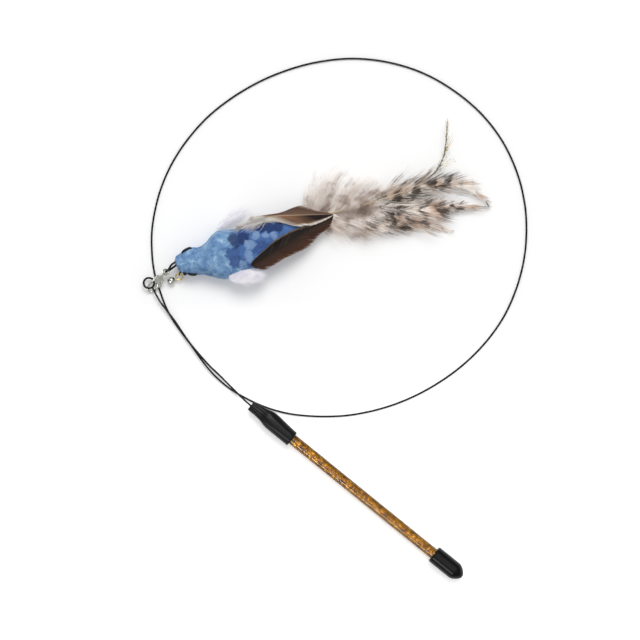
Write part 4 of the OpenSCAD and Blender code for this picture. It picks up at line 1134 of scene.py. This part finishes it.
# %% Shafts from tables of shares
def tip_reaches(fine, length, wide, lean, curl):
    """For every point of a shaft, how long a barb must be on each side in metres, and its angle."""
    x = fine[:, 0] * length
    root_lean, tip_lean, ease = math.radians(lean[0]), math.radians(lean[1]), lean[2] if len(lean) > 2 else 0.8
    reaches = []
    for i, at in enumerate(fine[:, 0]):
        angle = root_lean + (tip_lean - root_lean) * at ** ease
        pair = []
        for column in (3, 4):
            barb = fine[i, column] * wide / math.sin(angle)
            # The tip's place and the outline there depend on each other, so both settle in rounds.
            for _ in range(24):
                tip_x = min(x[i] + barb * (math.cos(angle) + curl), length)
                goal = float(np.interp(tip_x, x, fine[:, column])) * wide / math.sin(angle)
                barb = 0.5 * barb + 0.5 * goal
            pair.append(barb * MM)
        reaches.append((*pair, angle))
    return reaches


def shaft_of(name, place, rows, length, wide, lean, curl, quill_mm):
    """A line of points along a feather's shaft, in metres, with reach and quill stored on them."""
    fine = np.array(smooth_rows(np.array(rows, float), 6))
    piece = polyline(name, [on_toy @ (place @ Vector(row[:3] * length)) * MM for row in fine])
    radii = [quill_mm / 2 * MM * max(0.1, 1 - 0.93 * at) for at in fine[:, 0]]
    for label, kind, key, values in (
        ("reach", "FLOAT_VECTOR", "vector", tip_reaches(fine, length, wide, lean, curl)),
        ("quill", "FLOAT", "value", radii), ("along", "FLOAT", "value", fine[:, 0]),
    ):
        stored_values = piece.data.attributes.new(label, kind, "POINT").data
        stored_values.foreach_set(key, np.array(values, np.float32).ravel())
    return piece


def feather(name, node, place, rows, length, wide, lean, curl, quill_mm, slot, finish, barbs):
    """One finished feather in the toy's frame, riding on the toy."""
    shaft = shaft_of(name, place, rows, length, wide, lean, curl, quill_mm)
    piece = grow(barb_tree, shaft, **{"Forward curl": curl, "Finish": finish}, **barbs)
    fasten(piece, "toy", slot, *([node] if node else []))
    print(name, "has", faces_of(piece), "triangles")


def root_place(x, y, z, turn):
    """Where a feather's root is and how it is turned, in the toy's frame."""
    return Matrix.Translation((x, y, z)) @ Matrix.Rotation(math.radians(turn), 4, "Z")


print("shaft helpers are ready")

# %% [markdown]
# Feather colour sits in the barbs, so each material reads what the barbs carry: how far out a point is, how far
# along the shaft its barb leaves, and on which side. Keratin is slightly glossy and lets some light through. The
# two flight feathers are brown: the upper one is light below its shaft, with a cream edge, and near black at its
# tip. The lower one runs from a tan leading edge over near black to dark brown.

# %% Materials: brown and dark flight feathers
def barb_values(tree):
    """The values that every barb carries: out, along, side and chance."""
    return [add(tree, "ShaderNodeAttribute", attribute_name=name).outputs["Fac"]
            for name in ("out", "along", "side", "chance")]


def streaked(tree, side, chance, vane, quill, tones):
    """A vane's colour with its quill, and with a slightly different tone on each barb."""
    vane = mix(tree, calc(tree, "COMPARE", side, 0.0, 0.1), vane, quill)
    return mix(tree, 1.0, vane, paint(tree, chance, tones), "MULTIPLY")


keratin = {"Roughness": 0.6, "IOR": 1.54, "Specular IOR Level": 0.15}
brown_feather, tree, shader = start_material("brown_flight_feather", **keratin)
out, along, side, chance = barb_values(tree)
upper = paint(tree, out, [(0.0, "#C9AE96"), (0.07, "#745C4E"), (0.8, "#5E483C"), (0.93, "#957E6E"), (1.0, "#DCCEC0")])
lower = paint(tree, out, [(0.0, "#B4967C"), (0.08, "#8A664C"), (0.6, "#745644"), (0.8, "#8C6C56"), (0.89, "#ECE5DC"),
                          (1.0, "#FFFDFA")])
is_upper = calc(tree, ">", side, 0.0)
# Near the tip the lower vane is black from the shaft to its cream edge.
black = calc(tree, "*", remap(tree, along, 0.5, 0.72), remap(tree, out, 0.84, 0.7))
black = calc(tree, "*", black, calc(tree, "-", 1.0, is_upper))
vane = mix(tree, black, mix(tree, is_upper, lower, upper), linear("#17100D"))
# The down at the root reaches further on the lower vane than on the upper one.
downy = remap(tree, calc(tree, "*+", is_upper, 0.14, along), 0.43, 0.28)
vane = mix(tree, downy, vane, linear("#DAD6CE"))
feed(shader, "Base Color", streaked(tree, side, chance, vane, linear("#CDB39A"), [(0.0, "#D8D2CC"), (1.0, "#FFFFFF")]))

dark_feather, tree, shader = start_material("dark_flight_feather", **keratin)
out, along, side, chance = barb_values(tree)
across = calc(tree, "*+", calc(tree, "*", out, side), 0.5, 0.5)
vane = paint(tree, across, [(0.0, "#6A452E"), (0.1, "#4A2E20"), (0.3, "#38241A"), (0.5, "#281810"), (0.56, "#17100C"),
                            (0.9, "#130D0A"), (0.96, "#6E5A44"), (1.0, "#94805F")])
vane = mix(tree, remap(tree, along, 0.6, 0.95), vane, linear("#33221A"))
pale = calc(tree, "*", calc(tree, ">", chance, 0.986), 0.35)
feed(shader, "Base Color", mix(tree, pale, vane, linear("#8A7666")))
print("made", brown_feather.name, "and", dark_feather.name)

# %% [markdown]
# The tail feathers are barred: dark bars cross a cream vane every 10 mm or so, slanting forwards as the barbs do,
# and breaking up because barbs of one clump slide against the next. A bar is drawn as a wave along the shaft,
# pushed forwards with the distance out and disturbed by noise. The down is brown-grey at its roots and fades to
# almost white at its ends.

# %% Materials: barred tail feather, spotted plume and down
TAN_QUILL = [(0.0, "#D5C4AE"), (1.0, "#D5C4AE")]


def barred(name, cream, dark, rust, bars, width=0.62, slant=0.1, amount=2.6, quill=TAN_QUILL, share=0.4, fade=0.2,
           core=0.0):
    """A barred feather with a number of bars along its shaft."""
    material, tree, shader = start_material(name, **keratin)
    out, along, side, chance = barb_values(tree)
    place = own_place(tree)
    jitter = calc(tree, "*+", chance, 0.025, calc(tree, "*+", out, slant, along))
    moved = calc(tree, "*+", noise(tree, place, 110.0, 2.0), 1.2 / bars, jitter)
    wave = calc(tree, "SINE", calc(tree, "*", moved, bars * math.tau))
    # The bars grow fainter and the ground paler towards the tip.
    bar = calc(tree, "*+", wave, 0.4, 0.6 * fade - 0.55)
    bar = calc(tree, "*+", along, -fade, bar)
    patched = calc(tree, "*+", noise(tree, place, 120.0, 1.0), amount, bar)
    dark_share = remap(tree, patched, width, width + 0.3)
    dark_share = calc(tree, "*", dark_share, remap(tree, along, 0.2, 0.34))
    dark_share = calc(tree, "MAXIMUM", dark_share, remap(tree, out, 0.4, 0.25, 0.0, core))
    ground = paint(tree, noise(tree, place, 70.0, 2.0), [(0.45, cream), (0.6, rust), (0.75, cream)])
    vane = mix(tree, dark_share, ground, linear(dark))
    tones = [(0.0, "#CFC9C4"), (0.6, "#FFFFFF")]
    feed(shader, "Base Color", streaked(tree, side, chance, vane, paint(tree, along, quill), tones))
    # Painted light: the barbs emit a faint light in their own colour, bars included.
    let_light_through(tree, shader, share, cream, 0.16)
    return material


long_barred = barred("barred_tail_feather", "#FFFCF8", "#42362F", "#D6BEAA", 11)
short_barred = barred("barred_tail_feather_warm", "#FFFAF5", "#4A3A32", "#D2B6A0", 9, fade=0.9)
spotted = barred("spotted_thin_feather", "#FFF8E2", "#2A261E", "#F0E4C0", 14, 0.3, 0.2, 1.4,
                 [(0.6, "#E4D6C0"), (0.7, "#1E1A14")], 0.1, 0.0, 0.9)


def downy_material(name, root, middle, cloudy, lift):
    """Down that fades to white at its ends, with clouds of a darker tone."""
    material, tree, shader = start_material(name, **keratin)
    fade = paint(tree, barb_values(tree)[0], [(0.0, root), (0.4, middle), (0.8, "#FFFDFA")])
    smoke = paint(tree, noise(tree, own_place(tree), 120.0, 2.0), [(0.36, cloudy), (0.52, "#FFFFFF")])
    feed(shader, "Base Color", mix(tree, 1.0, fade, smoke, "MULTIPLY"))
    # Painted light: the down emits a faint light in its own colour, more for the brown down than for the grey-white.
    let_light_through(tree, shader, 0.5, "#FFFCFA", lift)
    return material


down = downy_material("grey_brown_down", "#A09084", "#D6CCC4", "#A8958A", 0.12)
pale_down = downy_material("grey_white_down", "#B4B0AA", "#DEDCD8", "#98928A", 0.04)
print("made", long_barred.name, spotted.name, "and", down.name)

# %% [markdown]
# Now the seven feathers. The two flight feathers are sewn to the head's upper side and lie back along it. The five
# others have their quills in the binding at the head's rear end, and fan out from there one above the other.

# %% The two flight feathers on the head
UPPER_WING = [
    (0, 0, 0, 0.07, 0.07), (0.06, 0.03, 0, 0.1, 0.1), (0.13, 0.053, -0.007, 0.3, 0.25),
    (0.26, 0.075, -0.007, 0.16, 0.5), (0.44, 0.067, -0.003, 0.24, 0.96), (0.55, 0.056, -0.005, 0.55, 1),
    (0.66, 0.043, -0.007, 0.7, 0.97), (0.75, 0.033, -0.01, 0.55, 0.85), (0.84, 0.022, -0.013, 0.3, 0.7),
    (0.93, 0.01, -0.016, 0.2, 0.4), (1, 0, -0.02, 0.05, 0.05),
]
LOWER_WING = [
    (0, 0, 0, 0.1, 0.7), (0.04, 0, 0, 0.24, 0.8), (0.12, 0, 0, 0.38, 0.82), (0.25, 0, -0.005, 0.54, 0.82),
    (0.37, 0, -0.03, 0.68, 0.82), (0.59, 0, -0.08, 0.62, 1), (0.76, 0, -0.097, 0.2, 0.7),
    (0.91, 0, -0.104, 0.08, 0.55), (1, 0, -0.106, 0.04, 0.05),
]
upper_place = root_place(NOSE.x + 0.548 * HEAD_L, NOSE.y + 0.4 * HEAD_W, 0.745 * HEAD_T, -4.1)
lower_place = root_place(NOSE.x + 0.563 * HEAD_L, NOSE.y - 0.354 * HEAD_W, 0.955 * HEAD_T, 19.7)
WING = {"Steps": 6, "Vane to": 0.985, "Barb radius": 0.0002, "Flatness": 0.35}
feather("upper_wing_feather", "upper_wing", upper_place, UPPER_WING, 60, 8.2, (32, 24), 0.12, 1.1,
        "brown_feather", brown_feather, WING | {
            "Barbs": 620, "Vane from": 0.05, "Droop": 0.04, "Fray": 0.03, "Lean spread": 0.012, "Clump of": 22.0,
            "Clump pull": 0.1, "Clump spread": 0.012, "Seed": 11})
feather("lower_wing_feather", "lower_wing", lower_place, LOWER_WING, 62, 9.3, (64, 24, 0.28), 0.12, 1.0,
        "dark_feather", dark_feather, WING | {
            "Barbs": 640, "Vane from": 0.0, "Droop": 0.05, "Fray": 0.08, "Lean spread": 0.015, "Clump of": 16.0,
            "Clump pull": 0.08, "Clump spread": 0.008, "Seed": 12})

# %% Tables of the five feathers at the rear
LONG_TAIL = [
    (0, 0, 0, 0.06, 0.06), (0.08, 0.014, 0.012, 0.08, 0.08), (0.17, 0.025, 0.016, 0.55, 0.42),
    (0.32, 0.04, 0.016, 0.94, 0.6), (0.54, 0.086, 0.003, 1, 0.84), (0.64, 0.111, -0.005, 0.86, 0.9),
    (0.76, 0.119, -0.013, 0.72, 0.66), (0.86, 0.105, -0.02, 0.52, 0.6), (0.94, 0.061, -0.025, 0.42, 0.5),
    (1, 0, -0.028, 0.1, 0.14),
]
SHORT_TAIL = [
    (0, 0, 0, 0.07, 0.07), (0.09, 0.015, 0.005, 0.09, 0.09), (0.19, 0.021, 0.006, 0.35, 0.6),
    (0.37, 0.017, 0.006, 0.65, 0.96), (0.61, 0.008, -0.005, 0.77, 1), (0.86, -0.005, -0.022, 0.6, 0.9),
    (1, 0, -0.032, 0.16, 0.4),
]
FORK_TAIL = [
    (0, 0, 0, 0.1, 0.1), (0.11, 0.014, 0.006, 0.14, 0.14), (0.28, 0.01, 0.009, 0.75, 0.82),
    (0.56, 0.02, 0.005, 0.84, 1), (0.78, 0.027, -0.016, 0.6, 0.72), (0.91, 0.02, -0.029, 0.34, 0.36),
    (1, 0, -0.036, 0.2, 0.2),
]
UPRIGHT = [
    (0, 0, 0, 0.1, 0.1), (0.08, -0.025, 0.01, 0.1, 0.1), (0.2, -0.066, 0.012, 0.1, 0.2),
    (0.31, -0.112, 0.012, 0.15, 0.3), (0.54, -0.185, 0.011, 0.2, 0.5), (0.63, -0.203, 0.008, 0.25, 0.8),
    (0.71, -0.21, 0.006, 0.3, 1), (0.78, -0.199, 0.004, 0.35, 1), (0.85, -0.163, 0.003, 0.35, 1),
    (0.92, -0.098, 0.001, 0.3, 0.9), (0.965, -0.042, -0.001, 0.3, 0.6), (1, 0, -0.002, 0.2, 0.2),
]
PLUME = [
    (0, 0, 0, 0.03, 0.03), (0.05, 0.01, -0.011, 0.5, 0.04), (0.1, 0.019, -0.018, 0.75, 0.08),
    (0.26, 0.045, -0.033, 0.94, 0.5), (0.46, 0.049, -0.036, 1, 1), (0.67, 0.046, -0.036, 0.82, 0.9),
    (0.85, 0.024, -0.037, 0.6, 0.64), (1, 0, -0.038, 0.18, 0.2),
]
print("tables of", len(LONG_TAIL) + len(SHORT_TAIL) + len(FORK_TAIL) + len(UPRIGHT) + len(PLUME), "rows")

# %% [markdown]
# Each feather has its root in the binding and its own number of barbs, and differs a little from the usual
# settings of its kind. The long and short ones are split into clumps, the fork is narrower, the thin one has
# barbs only near its tip, and the plume is all soft down.

# %% The five feathers in the binding
REAR = Vector((NOSE.x + HEAD_L, NOSE.y + 0.255 * HEAD_W, 0.375 * HEAD_T))
ROOT_STEP = 0.72


def tail_place(aside, up, turn):
    """A quill's place in the binding, as steps to the side and up from its middle."""
    return root_place(REAR.x + 0.05 + 1.9, REAR.y + aside * ROOT_STEP, REAR.z + up * ROOT_STEP, turn)


TAIL_VANE = {
    "Steps": 6, "Vane to": 0.99, "Droop": 0.04, "Rise spread": 0.08, "Barb radius": 0.00013, "Flatness": 0.45,
    "Fray": 0.5, "Lean spread": 0.1, "Clump of": 10.0, "Clump pull": 0.75, "Clump spread": 0.22}
DOWN = {
    "Steps": 5, "Vane to": 0.98, "Droop": 0.02, "Flatness": 0.8, "Lean spread": 0.2, "Clump pull": 0.5,
    "Clump spread": 0.2}
feather("long_tail_feather", "long_tail", tail_place(1, 0.4, -5.9), LONG_TAIL, 120, 11.6, (36, 15), 0.25, 1.2,
        "barred_feather", long_barred, TAIL_VANE | {
            "Barbs": 1000, "Vane from": 0.1, "Lean spread": 0.09, "Clump of": 11.0, "Clump pull": 0.7,
            "Clump spread": 0.2, "Seed": 21})
feather("short_tail_feather", "short_tail", tail_place(-1, 0.45, -5.2), SHORT_TAIL, 104, 11.6, (34, 15), 0.25, 1.2,
        "barred_feather", short_barred, TAIL_VANE | {"Barbs": 880, "Vane from": 0.12, "Seed": 22})
feather("fork_tail_feather", "fork_tail", tail_place(-1, -1.3, -14.5), FORK_TAIL, 93, 7.6, (32, 14), 0.25, 1.1,
        "barred_feather", short_barred, TAIL_VANE | {
            "Barbs": 600, "Vane from": 0.14, "Droop": 0.03, "Rise spread": 0.06, "Seed": 23})
feather("upright_thin_feather", "upright_feather", tail_place(0, 2.2, 23.7), UPRIGHT, 115, 4.4, (30, 18), 0.2, 1.3,
        "barred_feather", spotted, TAIL_VANE | {
            "Barbs": 130, "Steps": 5, "Vane from": 0.7, "Droop": 0.0, "Rise spread": 0.1, "Barb radius": 0.00011,
            "Flatness": 0.6, "Fray": 0.6, "Clump of": 5.0, "Clump pull": 0.7, "Clump spread": 0.2, "Seed": 24})
feather("down_plume_hairs", "down_plume", tail_place(1, -1.6, -3.5), PLUME, 63, 28, (78, 32), 0.3, 1.1,
        "grey_down", down, DOWN | {
            "Barbs": 3000, "Vane from": 0.02, "Rise spread": 0.22, "Barb radius": 0.00009, "Fray": 0.7,
            "Clump of": 22.0, "Seed": 25})

# %% [markdown]
# The bases of the tail feathers are downy too, so a looser down lies over them. A little covers the upper wing's
# root. Neither has a solid of its own.

# %% Loose down
OVER_TAIL = [
    (0, 0, 0, 0.05, 0.02), (0.06, 0.01, -0.01, 0.3, 0.04), (0.2, 0.02, -0.01, 0.7, 0.1), (0.36, 0.03, 0.02, 0.9, 0.6),
    (0.5, 0.03, 0.045, 1, 0.9), (0.72, 0.03, 0.03, 0.85, 0.8), (0.88, 0.02, 0.01, 0.5, 0.5), (1, 0, 0, 0.15, 0.15),
]
ROOT_DOWN = [
    (0, 0, 0, 0.2, 0.2), (0.2, 0, 0.01, 0.7, 0.7), (0.6, 0, -0.02, 1, 1), (0.9, 0, -0.08, 0.7, 0.7),
    (1, 0, -0.1, 0.4, 0.4),
]
feather("down_over_tail", None, tail_place(0.3, 1.5, -3), OVER_TAIL, 60, 18, (64, 26), 0.3, 0.5, "grey_down", down,
        DOWN | {"Barbs": 1100, "Vane from": 0.03, "Rise spread": 0.16, "Barb radius": 0.00008, "Fray": 0.6,
                "Clump of": 14.0, "Seed": 26})
feather("wing_root_down", None, root_place(72, 20.6, 14.6, 187), ROOT_DOWN, 20, 6.0, (34, 16), 0.3, 0.4, "grey_down",
        pale_down, DOWN | {
            "Barbs": 300, "Steps": 4, "Vane from": 0.0, "Droop": 0.06, "Rise spread": 0.12, "Barb radius": 0.00006,
            "Fray": 0.7, "Lean spread": 0.3, "Clump of": 5.0, "Clump pull": 0.3, "Clump spread": 0.3, "Seed": 27})
dress("tail_binding", braid_black)

# %% [markdown]
# The photograph has a white ground, soft light from the top of the picture and one soft grey shadow below the toy.
# The floor is a white sheet. A sun with a wide angle makes the soft shadow, and the world gives even light from
# all round. To the camera, and to reflections and glass, the world is pure white, while as light it is weaker.
# The floor adds a little of its own white for the same rays. Towards the handle it adds much more, a painted
# light that makes the handle's shadow fainter.
# Gloss sees a dim room with one bright panel overhead, which gives metal and black vinyl their contrast.

# %% Floor, light and world
def seen_rays(tree):
    """The light path's outputs, and 1 for a ray that sees: from the camera, off gloss or through glass."""
    ray = add(tree, "ShaderNodeLightPath").outputs
    seen = calc(tree, "MAXIMUM", ray["Is Camera Ray"], ray["Is Glossy Ray"])
    return ray, calc(tree, "MAXIMUM", seen, ray["Is Transmission Ray"])


def light(name, kind, energy, source):
    """A light that shines from a direction, towards the middle of the table."""
    lamp = show(name, bpy.data.lights.new(name, kind))
    lamp.data.energy = energy
    lamp.rotation_euler = source.to_track_quat("Z", "Y").to_euler()
    return lamp


FLOOR = [(-4, -4, 0), (4, -4, 0), (4, 4, 0), (-4, 4, 0)]
floor_white, tree, shader = start_material(
    "white_paper_floor", **{"Base Color": linear("#F7F7F7"), "Roughness": 0.9, "Specular IOR Level": 0.0})
seen = seen_rays(tree)[1]
upwards = add(tree, "ShaderNodeSeparateXYZ", {0: own_place(tree)}).outputs[1]
# Even own white near the toy, and painted light towards the handle, which lightens the handle's shadow.
floor_white_and_painted_light = calc(tree, "*", seen, remap(tree, upwards, -0.07, 0.03, 0.42, 0.04))
even_and_painted_white = add(tree, "ShaderNodeEmission", {"Color": (1, 1, 1, 1), "Strength": floor_white_and_painted_light})
resurface(tree, add(tree, "ShaderNodeAddShader", {0: shader.outputs[0], 1: even_and_painted_white.outputs[0]}))
show("white_floor", mesh_of("white_floor", FLOOR, [(0, 1, 2, 3)], smooth=False), floor_white)

world = bpy.data.worlds.new("white_room")
bpy.context.scene.world = world
world.use_nodes = True
tree = world.node_tree
tree.nodes.clear()
ray, seen = seen_rays(tree)
even = calc(tree, "*+", seen, 0.36, 0.64)
overhead = add(tree, "ShaderNodeTexCoord").outputs["Generated"]
overhead = add(tree, "ShaderNodeSeparateXYZ", {0: overhead}).outputs[2]
panel, dome = remap(tree, overhead, 0.95, 0.98, 0.0, 1.3), remap(tree, overhead, 0.4, 0.85, 0.3, 0.65)
glossy = calc(tree, "+", panel, dome)
strength = add(tree, "ShaderNodeMix", {0: ray["Is Glossy Ray"], 2: even, 3: glossy}, data_type="FLOAT").outputs[0]
sky = add(tree, "ShaderNodeBackground", {"Color": (1, 1, 1, 1), "Strength": strength})
add(tree, "ShaderNodeOutputWorld", {"Surface": sky.outputs[0]})

SUN_FROM, BOX_FROM = Vector((0.12, 0.68, 1.0)), Vector((-0.8, -0.95, 1.0))
sun = light("soft_window", "SUN", 1.55, SUN_FROM)
sun.data.angle = math.radians(32)
# A long soft box low on the left gives dark gloss its second highlight. Only reflections see it.
box = light("low_softbox", "AREA", 10.2, BOX_FROM)
box.data.shape, box.data.size, box.data.size_y = "RECTANGLE", 0.95, 0.5
box.location = BOX_FROM
box.visible_diffuse = False
bpy.context.scene.view_settings.view_transform = "Standard"
print("sun leans", round(math.degrees(SUN_FROM.angle((0, 0, 1)))), "degrees from upright")

# %% Sizes and finish
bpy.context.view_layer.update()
drawn = [o for o in bpy.context.scene.objects if o.type == "MESH" and not o.hide_render]
print("triangles in all:", sum(faces_of(o) for o in drawn))
